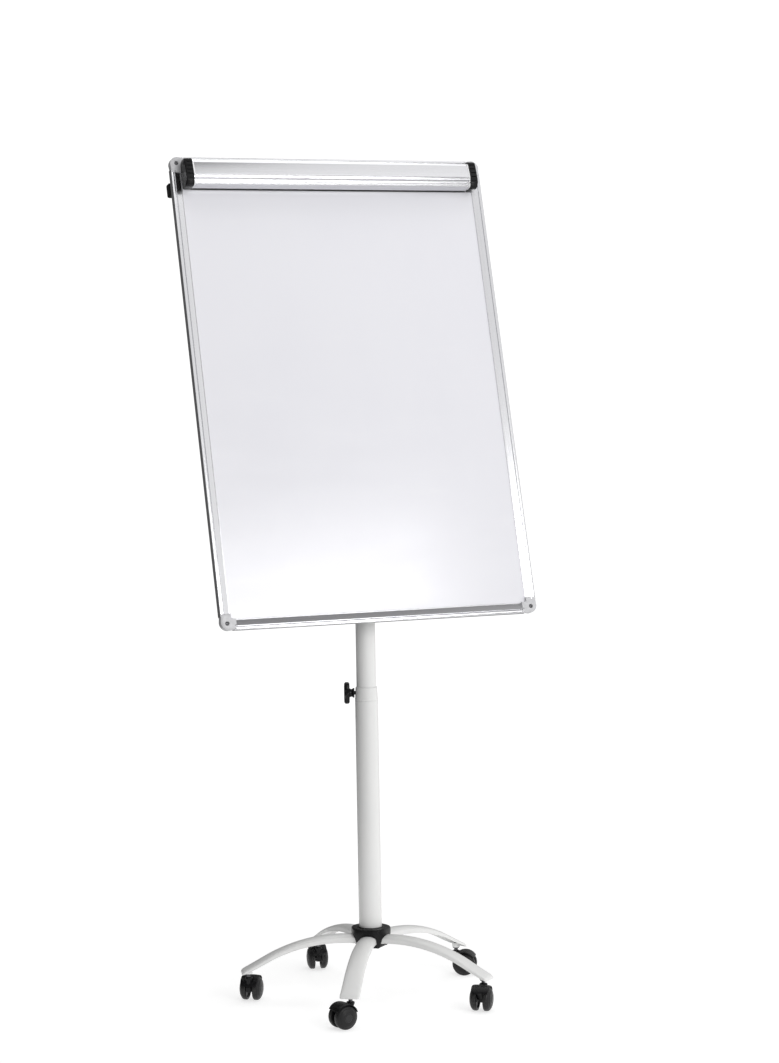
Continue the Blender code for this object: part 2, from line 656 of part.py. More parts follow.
def build_clamp(board, hinge, aluminium, black, rubber):
    bar = clamp_solid("clamp_bar", clamp_skin() + clamp_inside(), -CLAMP_HALF, CLAMP_HALF)
    clamp = place("clamp_bar", bar, aluminium, hinge)
    for name, sign in (("left", -1.0), ("right", 1.0)):
        across = sorted((sign * (LUG_U - 0.0050), sign * (LUG_U + 0.0010)))
        low = on_clamp(across[0], 0.0160, 0.9845)
        high = on_clamp(across[1], 0.0080, 0.9900)
        cut(clamp, tool("clamp_notch_" + name, box("clamp_notch_" + name, low, high), hinge))
    strip = [(0.0010 - GAP, 0.9272), (0.0010 - GAP, 0.9300), (-0.0030, 0.9305)]
    strip += [(-0.0040, 0.9292), (-0.0030, 0.9272)]
    strip_half = CLAMP_HALF - 0.001
    place("clamp_strip", clamp_solid("clamp_strip", strip, -strip_half, strip_half), rubber, hinge)
    cap_outline = arc((HINGE_N, HINGE_V), 0.0097, 190.0, 90.0, 6)
    cap_outline += [(0.0246, 0.9887), (0.0288, 0.9868), (0.0314, 0.9828), (0.0342, 0.9480)]
    cap_outline += arc((0.0236, 0.9370), 0.0106, 0.0, -90.0, 5) + [(0.0014, 0.9264)]
    pin_start = 0.3035
    for name, sign in (("clamp_cap_left", -1.0), ("clamp_cap_right", 1.0)):
        inner = sign * (CLAMP_HALF + GAP)
        cap = place(name, clamp_solid(name, cap_outline, inner, inner + sign * CAP_T), black, hinge)
        reach = CLAMP_HALF + 0.004
        rod = rod_profile(HINGE_PIN_R, pin_start, reach)
        pin = turned(name + "_pin", [(r, sign * h) for r, h in rod], 12, axis="X")
        join(cap, tool(name + "_pin", pin, hinge))


def build_hinge_lugs(board, steel):
    """Lugs on the top rail that carry the clamp's hinge pins."""
    lug_t = 0.004
    foot = [(-0.0008, 0.9895), (-0.0022, 0.9782)]
    side = foot + arc((HINGE_N, HINGE_V), 0.0050, -110.0, 100.0, 7)
    for name, sign in (("clamp_lug_left", -1.0), ("clamp_lug_right", 1.0)):
        outer = sign * LUG_U
        outline = [on_board(outer, front, up) for front, up in side]
        mesh = extruded(name, outline, (-sign * lug_t, 0.0, 0.0), 30.0)
        lug = place(name, mesh, steel, board)
        hole = turned(name + "_hole", rod_profile(HINGE_PIN_R + GAP, -0.340, 0.340), 12, axis="X")
        cut(lug, tool(name + "_hole", hole, board, on_board(0.0, HINGE_N, HINGE_V)))


def build_hooks(board, black):
    """Pad pegs that slide along the top rail, behind the clamp bar."""
    half = 0.009
    peg_v = 0.9690
    sheet = -SHEET_RECESS + GAP
    side = [(sheet, 0.9620), (sheet, 0.9766), (GAP, 0.9766), (GAP, 0.9870)]
    side += [(0.0018, 0.9870), (0.0018, 0.9620)]
    for name, sign in (("pad_hook_left", -1.0), ("pad_hook_right", 1.0)):
        centre = on_board(sign * HOOK_U, 0.0, 0.0)
        axis = empty(name + "_slide", board, centre)
        foot = extruded(name, [(-half, -front, up) for front, up in side], (2 * half, 0.0, 0.0))
        hook = place(name, foot, black, axis)
        peg = turned(name + "_peg", rod_profile(0.0032, -0.0185, -0.0005), 12, axis="Y")
        join(hook, tool(name + "_peg", peg, axis, (0.0, 0.0, peg_v)))


# ---- Side arms ----------------------------------------------------------------------------------
def build_arm_guide(board, aluminium):
    """Open channel across the board's back that both arms slide in."""
    wall = 0.0015
    half = 0.5 * ARM_HEIGHT
    front = -FRAME_DEPTH - GAP
    back = front - ARM_GUIDE_DEPTH
    outline = [(front, -half), (back, -half), (back, half), (front, half)]
    outline += [(front, half - wall), (back + wall, half - wall)]
    outline += [(back + wall, wall - half), (front, wall - half)]
    points = [on_board(-ARM_GUIDE_HALF, n, ARM_V + v) for n, v in outline]
    place("arm_guide", extruded("arm_guide", points, (2 * ARM_GUIDE_HALF, 0.0, 0.0)), aluminium, board)


def build_arms(board, white, black):
    arm_front = -FRAME_DEPTH - 0.0025
    arm_back = arm_front - 0.0100
    half = 0.0105
    for name, sign in (("left", -1.0), ("right", 1.0)):
        axis = empty(f"arm_slide_{name}", board)
        inner = sign * ARM_INNER_U
        outer = sign * (ARM_GUIDE_HALF + 0.0085)
        span = sorted((inner, outer))
        arm = board_box(f"arm_{name}", span, (arm_back, arm_front), (ARM_V - half, ARM_V + half))
        place(f"arm_{name}", arm, white, axis)
        build_arm_end(f"arm_end_{name}", sign, axis, black, (arm_back, arm_front), half)


def build_arm_end(name, sign, axis, black, arm_front, arm_half):
    """Cap on an arm's outer end, with a pocket that the arm sits in."""
    start = sign * (ARM_GUIDE_HALF + 0.0010)
    span = sorted((start, sign * ARM_END_U))
    front = (-FRAME_DEPTH - GAP - ARM_GUIDE_DEPTH, -FRAME_DEPTH - GAP)
    up = (ARM_V - 0.5 * ARM_HEIGHT, ARM_V + 0.5 * ARM_HEIGHT)
    cap = place(name, board_box(name, span, front, up), black, axis)
    pocket_span = sorted((start - sign * 0.002, sign * (ARM_GUIDE_HALF + 0.0085 + GAP)))
    pocket = board_box(
        name + "_pocket",
        pocket_span,
        (arm_front[0] - GAP, arm_front[1] + GAP),
        (ARM_V - arm_half - GAP, ARM_V + arm_half + GAP),
    )
    cut(cap, tool(name + "_pocket", pocket, axis))


# ---- Assembly -----------------------------------------------------------------------------------
def build():
    clear_scene()
    white = finish("white_powder_coat", (0.82, 0.82, 0.81), 0.38)
    black = finish("black_plastic", (0.018, 0.018, 0.019), 0.42)
    tread = finish("castor_wheel_plastic", (0.022, 0.022, 0.023), 0.50)
    rubber = finish("black_rubber", (0.015, 0.015, 0.015), 0.75)
    nylon = finish("grey_nylon", (0.35, 0.35, 0.35), 0.55)
    steel = finish("zinc_plated_steel", (0.55, 0.56, 0.58), 0.32, 1.0)
    aluminium = finish("anodised_aluminium", (0.78, 0.79, 0.81), 0.34, 1.0)
    enamel = finish("white_enamel", (0.86, 0.86, 0.89), 0.12)
    hardboard = finish("hardboard", (0.42, 0.30, 0.19), 0.80)
    zinc = finish("zinc_coated_sheet", (0.60, 0.61, 0.62), 0.42, 0.9)
    corner_grey = finish("grey_corner_plastic", (0.62, 0.62, 0.63), 0.40)

    base = empty("base_axis", None, (0.0, COLUMN_Y, 0.0))
    build_hub(base, black)
    build_column_bolt(base, steel)
    build_legs(base, white)
    build_castors(base, steel, black, tread)
    build_lower_tube(base, white)
    build_height_collar(base, white)
    build_height_knob(base, black)

    slide = empty("height_slide", base)
    build_guide_bush(slide, nylon)
    turn = empty("column_turn", slide)
    build_upper_tube(turn, white)
    build_tilt_head(turn, black)
    build_tilt_bolt(turn, steel)
    build_tilt_knob(turn, black)

    board = empty("tilt_axis", turn, (0.0, 0.0, PIVOT_Z), (radians(-BOARD_TILT_DEG), 0.0, 0.0))
    build_board_bracket(board, steel)
    build_panel(board, enamel, hardboard, zinc)
    build_rails(board, aluminium)
    build_corners(board, corner_grey)
    build_hinge_lugs(board, steel)
    build_hooks(board, black)
    hinge = empty("clamp_hinge", board, on_board(0.0, HINGE_N, HINGE_V))
    build_clamp(board, hinge, aluminium, black, rubber)
    build_arm_guide(board, aluminium)
    build_arms(board, white, black)


build()
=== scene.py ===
"""Looks of the mobile flip chart easel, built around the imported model. Metres, +Z up."""

import json
from math import atan2, cos, pi, radians, sin, sqrt, tan, tau

import bmesh
import bpy
from mathutils import Matrix, Vector


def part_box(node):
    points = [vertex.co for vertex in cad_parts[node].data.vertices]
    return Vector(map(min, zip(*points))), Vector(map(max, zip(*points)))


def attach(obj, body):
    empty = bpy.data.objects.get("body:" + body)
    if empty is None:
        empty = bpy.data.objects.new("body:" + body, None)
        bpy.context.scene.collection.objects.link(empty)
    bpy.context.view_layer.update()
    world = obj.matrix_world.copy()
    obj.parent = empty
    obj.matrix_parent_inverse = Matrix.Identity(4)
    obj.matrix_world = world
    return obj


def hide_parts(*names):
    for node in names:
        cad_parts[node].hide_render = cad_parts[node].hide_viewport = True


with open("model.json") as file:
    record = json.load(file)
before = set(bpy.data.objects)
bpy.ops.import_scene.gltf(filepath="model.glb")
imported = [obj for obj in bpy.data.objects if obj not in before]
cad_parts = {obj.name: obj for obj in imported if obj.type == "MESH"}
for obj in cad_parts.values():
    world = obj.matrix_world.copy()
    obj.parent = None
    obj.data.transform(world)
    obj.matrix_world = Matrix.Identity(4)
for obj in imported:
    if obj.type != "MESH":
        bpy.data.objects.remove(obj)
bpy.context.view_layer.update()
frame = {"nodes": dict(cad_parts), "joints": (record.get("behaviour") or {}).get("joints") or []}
JOINTS = {joint["name"]: joint for joint in frame["joints"]}
NODES = frame["nodes"]

# ---- Places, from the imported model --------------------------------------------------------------
GAP = 0.0003
TUBE_LOW, TUBE_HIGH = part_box("lower_tube")
COLUMN = Vector((0.5 * (TUBE_LOW.x + TUBE_HIGH.x), 0.5 * (TUBE_LOW.y + TUBE_HIGH.y), 0.0))
BOARD_TILT = radians(-15.0)
PIVOT = Vector(JOINTS["board_tilt"]["pos_m"])
BOARD_BEHIND_PIVOT = 0.0525  # frame's front to tilt axis
BOARD_BELOW_PIVOT = 0.175  # tilt axis above the board's lower edge

AT_COLUMN = Matrix.Translation(COLUMN)
AT_PIVOT = Matrix.Translation(PIVOT)
TILTED = Matrix.Rotation(BOARD_TILT, 4, "X")
ON_BOARD = AT_PIVOT @ TILTED @ Matrix.Translation((0.0, -BOARD_BEHIND_PIVOT, -BOARD_BELOW_PIVOT))

# ---- Sizes --------------------------------------------------------------------------------------
BOARD_W = 0.709  # over the frame's front lip
BOARD_H = 1.000
FRAME_DEPTH = 0.022
RAIL_W = 0.023
SHEET_RECESS = 0.0045
PANEL_T = 0.0119  # writing sheet, core and back sheet together
PANEL_INSET = 0.007
CORNER_SIZE = 0.034
CORNER_R = 0.017
CORNER_PROUD = 0.0008
STEP_IN = 0.0055  # the frame's back part stands in by this much
STEP_FRONT = 0.0125
LOWER_R = 0.024
UPPER_R = 0.0205
TUBE_WALL = 0.0015
BOLT_R = 0.005
BOLT_BORE = BOLT_R + GAP
BOLT_ACROSS = 0.0160  # hexagon head across its flats
LEG_ROOT_R = 0.0275
LEG_TIP_R = 0.275
LEG_DEG = tuple(32.6 + 72.0 * index for index in range(5))  # from -Y towards -X
STEM_CIRCLE_R = 0.260
WHEEL_R = 0.025
CASTOR_TRAIL = 0.019
CLAMP_HALF = 0.3155
CAP_T = 0.0172
HINGE_N = 0.0110
HINGE_V = 0.9790
ARM_V = 0.9365
ARM_HEIGHT = 0.0285
ARM_GUIDE_DEPTH = 0.0165
ARM_GUIDE_HALF = 0.3405
ARM_END_U = 0.3545


# ---- Material nodes -----------------------------------------------------------------------------
def smooth_range(tree, value, *numbers):
    """Maps a value smoothly; the numbers are its low and high, then the result's low and high."""
    node = tree.nodes.new("ShaderNodeMapRange")
    node.interpolation_type = "SMOOTHSTEP"
    for socket, number in zip(("From Min", "From Max", "To Min", "To Max"), numbers):
        node.inputs[socket].default_value = number
    tree.links.new(value, node.inputs["Value"])
    return node.outputs["Result"]


class Shader:
    """A Principled material and the few node recipes used on it."""

    def __init__(self, name, color, roughness, metallic=0.0, **sockets):
        self.mat = bpy.data.materials.new(name)
        self.mat.use_nodes = True
        self.nodes = self.mat.node_tree.nodes
        self.links = self.mat.node_tree.links
        self.bsdf = self.nodes["Principled BSDF"]
        self.color = color
        self.roughness = roughness
        self.set("Base Color", (*color, 1.0))
        self.set("Roughness", roughness)
        self.set("Metallic", metallic)
        for socket, value in sockets.items():
            self.set(socket.replace("_", " "), value)
        self.coords = self.nodes.new("ShaderNodeTexCoord").outputs["Object"]
        self.bump = None

    def set(self, socket, value):
        self.bsdf.inputs[socket].default_value = value

    def stretched(self, scale):
        mapping = self.nodes.new("ShaderNodeMapping")
        mapping.inputs["Scale"].default_value = scale
        self.links.new(self.coords, mapping.inputs["Vector"])
        return mapping.outputs["Vector"]

    def noise(self, scale, detail=3.0, rough=0.5, stretch=None):
        node = self.nodes.new("ShaderNodeTexNoise")
        node.inputs["Scale"].default_value = scale
        node.inputs["Detail"].default_value = detail
        node.inputs["Roughness"].default_value = rough
        self.links.new(self.stretched(stretch) if stretch else self.coords, node.inputs["Vector"])
        return node.outputs["Fac"]

    def voronoi(self, scale, feature="F1"):
        node = self.nodes.new("ShaderNodeTexVoronoi")
        node.feature = feature
        node.inputs["Scale"].default_value = scale
        self.links.new(self.coords, node.inputs["Vector"])
        return node

    def ramp(self, value, low, high, out_low, out_high):
        return smooth_range(self.mat.node_tree, value, low, high, out_low, out_high)

    def tint(self, mask, color):
        """Mixes another colour into the base colour by a mask from 0 to 1."""
        mix = self.nodes.new("ShaderNodeMix")
        mix.data_type = "RGBA"
        base = self.bsdf.inputs["Base Color"]
        if base.is_linked:
            self.links.new(base.links[0].from_socket, mix.inputs["A"])
        else:
            mix.inputs["A"].default_value = base.default_value
        mix.inputs["B"].default_value = (*color, 1.0)
        self.links.new(mask, mix.inputs["Factor"])
        self.links.new(mix.outputs["Result"], base)

    def rough(self, mask, low, high):
        self.links.new(self.ramp(mask, 0.3, 0.7, low, high), self.bsdf.inputs["Roughness"])

    def add_bump(self, height, strength, distance):
        node = self.nodes.new("ShaderNodeBump")
        node.inputs["Strength"].default_value = strength
        node.inputs["Distance"].default_value = distance
        self.links.new(height, node.inputs["Height"])
        if self.bump:
            self.links.new(self.bump, node.inputs["Normal"])
        self.bump = node.outputs["Normal"]
        self.links.new(self.bump, self.bsdf.inputs["Normal"])

    def radius(self):
        """Distance from the object's local Y axis."""
        split = self.nodes.new("ShaderNodeVectorMath")
        split.operation = "MULTIPLY"
        split.inputs[1].default_value = (1.0, 0.0, 1.0)
        self.links.new(self.coords, split.inputs[0])
        length = self.nodes.new("ShaderNodeVectorMath")
        length.operation = "LENGTH"
        self.links.new(split.outputs["Vector"], length.inputs[0])
        return length.outputs["Value"]


def powder_coat():
    sh = Shader("powder_coat", (0.80, 0.80, 0.79), 0.36, Coat_Weight=0.12, Coat_Roughness=0.25)
    sh.tint(sh.ramp(sh.noise(9.0, 2.0), 0.35, 0.75, 0.0, 0.35), (0.74, 0.745, 0.745))
    sh.rough(sh.noise(60.0, 2.0), 0.31, 0.42)
    sh.add_bump(sh.noise(900.0, 2.0, 0.4), 0.10, 0.0004)
    return sh.mat


def moulded_black(name="moulded_black", color=(0.004, 0.004, 0.0045), roughness=0.30):
    sh = Shader(name, color, roughness, Specular_IOR_Level=0.22)
    sh.tint(sh.ramp(sh.noise(140.0, 4.0), 0.45, 0.8, 0.0, 0.5), (0.010, 0.010, 0.011))
    sh.rough(sh.noise(220.0, 3.0), roughness - 0.06, roughness + 0.10)
    sh.add_bump(sh.noise(2600.0, 2.0, 0.6), 0.22, 0.0003)
    return sh.mat


def wheel_black():
    sh = Shader("wheel_black", (0.006, 0.006, 0.0065), 0.32, Specular_IOR_Level=0.32)
    radius = sh.radius()
    sh.tint(sh.ramp(radius, 0.0100, 0.0085, 0.0, 1.0), (0.020, 0.020, 0.021))
    scuffs = sh.ramp(sh.noise(420.0, 5.0, 0.65), 0.42, 0.72, 0.0, 0.75)
    edge = sh.ramp(radius, 0.0235, 0.0249, 0.0, 1.0)
    worn = sh.nodes.new("ShaderNodeMath")
    worn.operation = "MULTIPLY"
    sh.links.new(scuffs, worn.inputs[0])
    sh.links.new(edge, worn.inputs[1])
    sh.tint(worn.outputs["Value"], (0.050, 0.049, 0.047))
    sh.rough(sh.noise(200.0, 3.0), 0.30, 0.48)
    sh.add_bump(sh.noise(1800.0, 3.0, 0.6), 0.20, 0.0003)
    return sh.mat


def anodised(name, stretch, color=(0.70, 0.70, 0.72)):
    """Satin anodised aluminium with its drawing lines along one axis."""
    sh = Shader(name, color, 0.20, 1.0, Anisotropic=0.35)
    lines = sh.noise(1.0, 4.0, 0.6, stretch)
    sh.tint(sh.ramp(lines, 0.35, 0.7, 0.0, 0.45), tuple(0.92 * c for c in color))
    sh.rough(lines, 0.16, 0.24)
    sh.add_bump(lines, 0.06, 0.0002)
    return sh.mat


def enamel():
    sh = Shader("white_enamel", (0.80, 0.797, 0.838), 0.24, Coat_Weight=0.5, Coat_Roughness=0.16)
    haze = sh.noise(3.2, 5.0, 0.62, (1.0, 1.0, 0.55))
    sh.tint(sh.ramp(haze, 0.38, 0.72, 0.0, 0.55), (0.77, 0.767, 0.815))
    wiped = sh.noise(7.0, 6.0, 0.7, (0.5, 1.0, 3.2))
    sh.tint(sh.ramp(wiped, 0.56, 0.78, 0.0, 0.35), (0.83, 0.828, 0.855))
    sh.rough(wiped, 0.12, 0.26)
    sh.add_bump(sh.noise(260.0, 2.0, 0.4), 0.02, 0.0005)
    return sh.mat


def corner_plastic(name="corner_plastic", color=(0.60, 0.60, 0.615)):
    sh = Shader(name, color, 0.34)
    sh.tint(sh.ramp(sh.noise(90.0, 4.0), 0.4, 0.75, 0.0, 0.6), tuple(0.84 * c for c in color))
    sh.rough(sh.noise(150.0, 3.0), 0.28, 0.42)
    sh.add_bump(sh.noise(1500.0, 2.0), 0.15, 0.0003)
    return sh.mat


def zinc_plate(name="zinc_plate", color=(0.60, 0.61, 0.63)):
    sh = Shader(name, color, 0.30, 1.0)
    sh.tint(sh.ramp(sh.noise(70.0, 4.0), 0.4, 0.7, 0.0, 0.6), tuple(0.83 * c for c in color))
    sh.rough(sh.noise(130.0, 4.0), 0.24, 0.40)
    sh.add_bump(sh.noise(1200.0, 3.0), 0.08, 0.0002)
    return sh.mat


def galvanised():
    """Zinc-coated sheet with its faint crystal pattern."""
    sh = Shader("galvanised", (0.60, 0.61, 0.62), 0.42, 0.85)
    cells = sh.voronoi(55.0)
    grey = sh.nodes.new("ShaderNodeSeparateColor")
    sh.links.new(cells.outputs["Color"], grey.inputs["Color"])
    sh.tint(sh.ramp(grey.outputs["Red"], 0.1, 0.9, 0.0, 0.75), (0.50, 0.51, 0.525))
    sh.rough(grey.outputs["Green"], 0.34, 0.50)
    sh.add_bump(sh.noise(500.0, 3.0), 0.05, 0.0003)
    return sh.mat


def fibre_board():
    sh = Shader("fibre_board", (0.36, 0.25, 0.155), 0.82)
    sh.tint(sh.ramp(sh.noise(380.0, 6.0, 0.7), 0.4, 0.65, 0.0, 0.8), (0.22, 0.15, 0.09))
    sh.rough(sh.noise(300.0, 3.0), 0.74, 0.90)
    sh.add_bump(sh.noise(900.0, 5.0, 0.7), 0.5, 0.0006)
    return sh.mat


def rubber():
    sh = Shader("rubber", (0.014, 0.014, 0.014), 0.72)
    sh.tint(sh.ramp(sh.noise(300.0, 4.0), 0.5, 0.75, 0.0, 0.6), (0.032, 0.032, 0.032))
    sh.rough(sh.noise(250.0, 3.0), 0.62, 0.80)
    sh.add_bump(sh.noise(1600.0, 3.0), 0.3, 0.0003)
    return sh.mat


def nylon():
    sh = Shader("nylon", (0.33, 0.33, 0.335), 0.52)
    sh.tint(sh.ramp(sh.noise(160.0, 4.0), 0.4, 0.75, 0.0, 0.6), (0.26, 0.26, 0.265))
    sh.rough(sh.noise(180.0, 3.0), 0.45, 0.60)
    sh.add_bump(sh.noise(1400.0, 2.0), 0.2, 0.0003)
    return sh.mat


POWDER = powder_coat()
BLACK = moulded_black()
GLOSS_BLACK = moulded_black("moulded_black_gloss", (0.005, 0.005, 0.0055), 0.20)
WHEEL = wheel_black()
ALU_ACROSS = anodised("anodised_across", (3.0, 900.0, 900.0))
ALU_UP = anodised("anodised_up", (900.0, 900.0, 3.0))
ENAMEL = enamel()
CORNER = corner_plastic()
CORNER_WHITE = corner_plastic("corner_plastic_white", (0.86, 0.86, 0.87))
ZINC = zinc_plate()
# Painted shade: zinc-plated steel given a dark tone, so that the castor stems under the leg tips and the
# screws in the corner wells look shaded.
SHADE_DARK_STEEL = zinc_plate("shade_darkened_steel", (0.12, 0.12, 0.125))
GALVANISED = galvanised()
FIBRE = fibre_board()
RUBBER = rubber()
NYLON = nylon()


# ---- Mesh helpers -------------------------------------------------------------------------------
def fillet(points, radius, closed=True, steps=3):
    """The outline with its corners rounded. A point's third number is its own radius."""
    flat = [Vector(p[:2]) for p in points]
    count = len(flat)
    out = []
    for i, here in enumerate(flat):
        own = points[i][2] if len(points[i]) > 2 else radius
        if own <= 0.0 or (not closed and i in (0, count - 1)):
            out.append((here.x, here.y))
            continue
        before = flat[i - 1] - here
        after = flat[(i + 1) % count] - here
        turn = before.angle(after, pi)
        reach = own / max(tan(0.5 * turn), 1e-6)
        reach = min(reach, 0.48 * before.length, 0.48 * after.length)
        start = here + before.normalized() * reach
        end = here + after.normalized() * reach
        for k in range(steps + 1):
            t = k / steps
            point = (1 - t) ** 2 * start + 2 * t * (1 - t) * here + t * t * end
            out.append((point.x, point.y))
    return out


def arc(center, radius, start_deg, end_deg, steps):
    points = []
    for i in range(steps + 1):
        angle = radians(start_deg + (end_deg - start_deg) * i / steps)
        points.append((center[0] + radius * cos(angle), center[1] + radius * sin(angle)))
    return points


def loft(bm, rings, around=True, caps=True):
    """Faces between successive rings of points; a ring of one point closes to a tip."""
    rows = [[bm.verts.new(p) for p in ring] for ring in rings]
    for row, following in zip(rows, rows[1:]):
        count = max(len(row), len(following))
        for i in range(count if around else count - 1):
            j = (i + 1) % count
            corners = [row[i % len(row)], row[j % len(row)]]
            corners += [following[j % len(following)], following[i % len(following)]]
            unique = list(dict.fromkeys(corners))
            if len(unique) > 2:
                bm.faces.new(unique)
    if caps and around:
        for row in (rows[0], rows[-1]):
            if len(row) > 2:
                bm.faces.new(row)
    return rows


def lathe(bm, profile, steps, axis="Z", closed=False):
    """Spins (radius, height) points about an axis. A closed profile makes a ring."""
    orders = {"X": lambda a, b, h: (h, a, b), "Y": lambda a, b, h: (b, h, a)}
    order = orders.get(axis, lambda a, b, h: (a, b, h))
    turns = [tau * i / steps for i in range(steps)]
    rings = []
    for r, h in profile + profile[:1] if closed else profile:
        if r <= 1e-7:
            rings.append([order(0.0, 0.0, h)])
        else:
            rings.append([order(r * cos(angle), r * sin(angle), h) for angle in turns])
    before = len(bm.verts)
    loft(bm, rings, caps=False)
    bm.verts.ensure_lookup_table()
    if closed:
        bmesh.ops.remove_doubles(bm, verts=bm.verts[before:], dist=1e-7)


def prism(bm, outline, vector):
    """A flat outline of 3-D points pushed along a vector."""
    moved = [tuple(Vector(p) + Vector(vector)) for p in outline]
    loft(bm, [outline, moved])


def block(bm, low, high):
    outline = [(low[0], low[1], low[2]), (high[0], low[1], low[2])]
    outline += [(high[0], high[1], low[2]), (low[0], high[1], low[2])]
    prism(bm, outline, (0.0, 0.0, high[2] - low[2]))


def bevel(obj, width, segments=2, angle=35.0):
    mod = obj.modifiers.new("bevel", "BEVEL")
    mod.width = width
    mod.segments = segments
    mod.limit_method = "ANGLE"
    mod.angle_limit = radians(angle)
    mod.use_clamp_overlap = True
    mod.harden_normals = True


def piece(name, bm, at, body, mat, stands_for=(), edge=0.0, segments=2, smooth=35.0):
    """A finished piece: its mesh, place, body, material and the CAD nodes that it stands for."""
    bmesh.ops.recalc_face_normals(bm, faces=bm.faces)
    mesh = bpy.data.meshes.new(name)
    bm.to_mesh(mesh)
    bm.free()
    mesh.materials.append(mat)
    mesh.shade_smooth()
    mesh.set_sharp_from_angle(angle=radians(smooth))
    obj = bpy.data.objects.new(name, mesh)
    bpy.context.collection.objects.link(obj)
    obj.matrix_world = at
    if edge:
        bevel(obj, edge, segments)
    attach(obj, body)
    if stands_for:
        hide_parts(*stands_for)
    return obj


def carve(bm, cutters):
    """The mesh with other closed meshes cut out of it."""
    mesh = bpy.data.meshes.new("carve")
    bmesh.ops.recalc_face_normals(bm, faces=bm.faces)
    bm.to_mesh(mesh)
    bm.free()
    obj = bpy.data.objects.new("carve", mesh)
    bpy.context.collection.objects.link(obj)
    tools = []
    for cutter in cutters:
        bmesh.ops.recalc_face_normals(cutter, faces=cutter.faces)
        tool_mesh = bpy.data.meshes.new("cutter")
        cutter.to_mesh(tool_mesh)
        cutter.free()
        tool = bpy.data.objects.new("cutter", tool_mesh)
        bpy.context.collection.objects.link(tool)
        mod = obj.modifiers.new("cut", "BOOLEAN")
        mod.operation = "DIFFERENCE"
        mod.solver = "EXACT"
        mod.object = tool
        tools.append(tool)
    graph = bpy.context.evaluated_depsgraph_get()
    out = bmesh.new()
    out.from_mesh(obj.evaluated_get(graph).to_mesh())
    for tool in tools + [obj]:
        bpy.data.objects.remove(tool, do_unlink=True)
    return out


def finish_node(node, mat, width=0.0, segments=2, angle=40.0):
    """A CAD node kept as it is, with a finish and softened edges."""
    obj = NODES[node]
    obj.data.materials.clear()
    obj.data.materials.append(mat)
    if width:
        bevel(obj, width, segments, angle)


def heading(degrees):
    """Turns local +X to a direction given from -Y towards -X."""
    return Matrix.Rotation(radians(270.0 - degrees), 4, "Z")


# ---- Base ---------------------------------------------------------------------------------------
def leg_crown(radius):
    apex_r, apex_z, arc_r, straight_r = 0.065, 0.1352, 0.335, 0.225
    across = min(radius, straight_r) - apex_r
    rise = sqrt(arc_r**2 - across**2)
    return apex_z - arc_r + rise - max(0.0, radius - straight_r) * across / rise


def leg_size(radius):
    """Half width and height of the leg's section."""
    share = (radius - LEG_ROOT_R) / (LEG_TIP_R - LEG_ROOT_R)
    tip = max(0.0, share - 0.80) / 0.20
    return 0.5 * (0.034 + 0.006 * share), 0.017 - 0.007 * share - 0.0030 * tip * tip


def leg_row(radius, inset=0.0, tip=0.0):
    """One row across the leg, foot to foot; tip from 0 to 1 rolls the end of the leg down and in."""
    half, height = leg_size(radius)
    roll = 1.0 - cos(0.5 * pi * tip)
    half -= inset + 0.0045 * roll
    foot = leg_crown(radius) - height
    crown = leg_crown(radius) - inset - 0.55 * height * roll
    spring = foot + 0.48 * height * (1.0 - 0.8 * tip)
    flare = 0.0 if inset else 0.0006
    row = [(radius, -half - flare, foot), (radius, -half, foot + 0.0009)]
    steps = 16
    for i in range(steps + 1):
        angle = pi - pi * i / steps
        row.append((radius, half * cos(angle), spring + (crown - spring) * sin(angle)))
    row += [(radius, half, foot + 0.0009), (radius, half + flare, foot)]
    return row


def leg_mesh():
    """Pressed channel with a domed top, rolled down at the tip, and the boss for the castor's stem."""
    wall = 0.0019
    stations = [(LEG_ROOT_R + (LEG_TIP_R - 0.005 - LEG_ROOT_R) * i / 29, 0.0) for i in range(30)]
    stations += [(LEG_TIP_R - 0.005 + 0.005 * sin(0.1 * pi * i), 0.2 * i) for i in range(1, 6)]
    rings = []
    for radius, tip in stations:
        inner = leg_row(radius - (wall if tip else 0.0) * tip, wall, tip)
        rings.append(leg_row(radius, tip=tip) + inner[::-1])
    foot = leg_crown(LEG_TIP_R) - leg_size(LEG_TIP_R)[1]
    rings.append([(x, y, foot) for x, y, _ in rings[-1]])
    bm = bmesh.new()
    loft(bm, rings)
    bmesh.ops.remove_doubles(bm, verts=bm.verts, dist=1e-6)
    ring = [(0.0043, 0.0595), (0.0076, 0.0595), (0.0082, 0.0601), (0.0082, 0.0690), (0.0043, 0.0690)]
    boss = bmesh.new()
    lathe(boss, ring, 28, closed=True)
    bmesh.ops.translate(boss, verts=boss.verts, vec=(STEM_CIRCLE_R, 0.0, 0.0))
    merge(bm, boss)
    return bm


def merge(bm, other):
    """Adds another mesh's faces to this one."""
    mesh = bpy.data.meshes.new("part")
    other.to_mesh(mesh)
    other.free()
    bm.from_mesh(mesh)
    bpy.data.meshes.remove(mesh)


def leg_cutter(at):
    """The space that a leg takes in the hub."""
    bm = bmesh.new()
    rings = []
    for radius in (LEG_ROOT_R - GAP, 0.035, 0.048, 0.062):
        half, height = leg_size(radius)
        half += 0.0008
        crown = leg_crown(radius) + 0.0005
        foot = leg_crown(radius) - height - 0.014
        spring = crown - 0.52 * height
        ring = [(radius, -half, foot)]
        for i in range(17):
            angle = pi - pi * i / 16
            ring.append((radius, half * cos(angle), spring + (crown - spring) * sin(angle)))
        ring.append((radius, half, foot))
        rings.append([tuple(at @ Vector(p)) for p in ring])
    loft(bm, rings)
    return bm


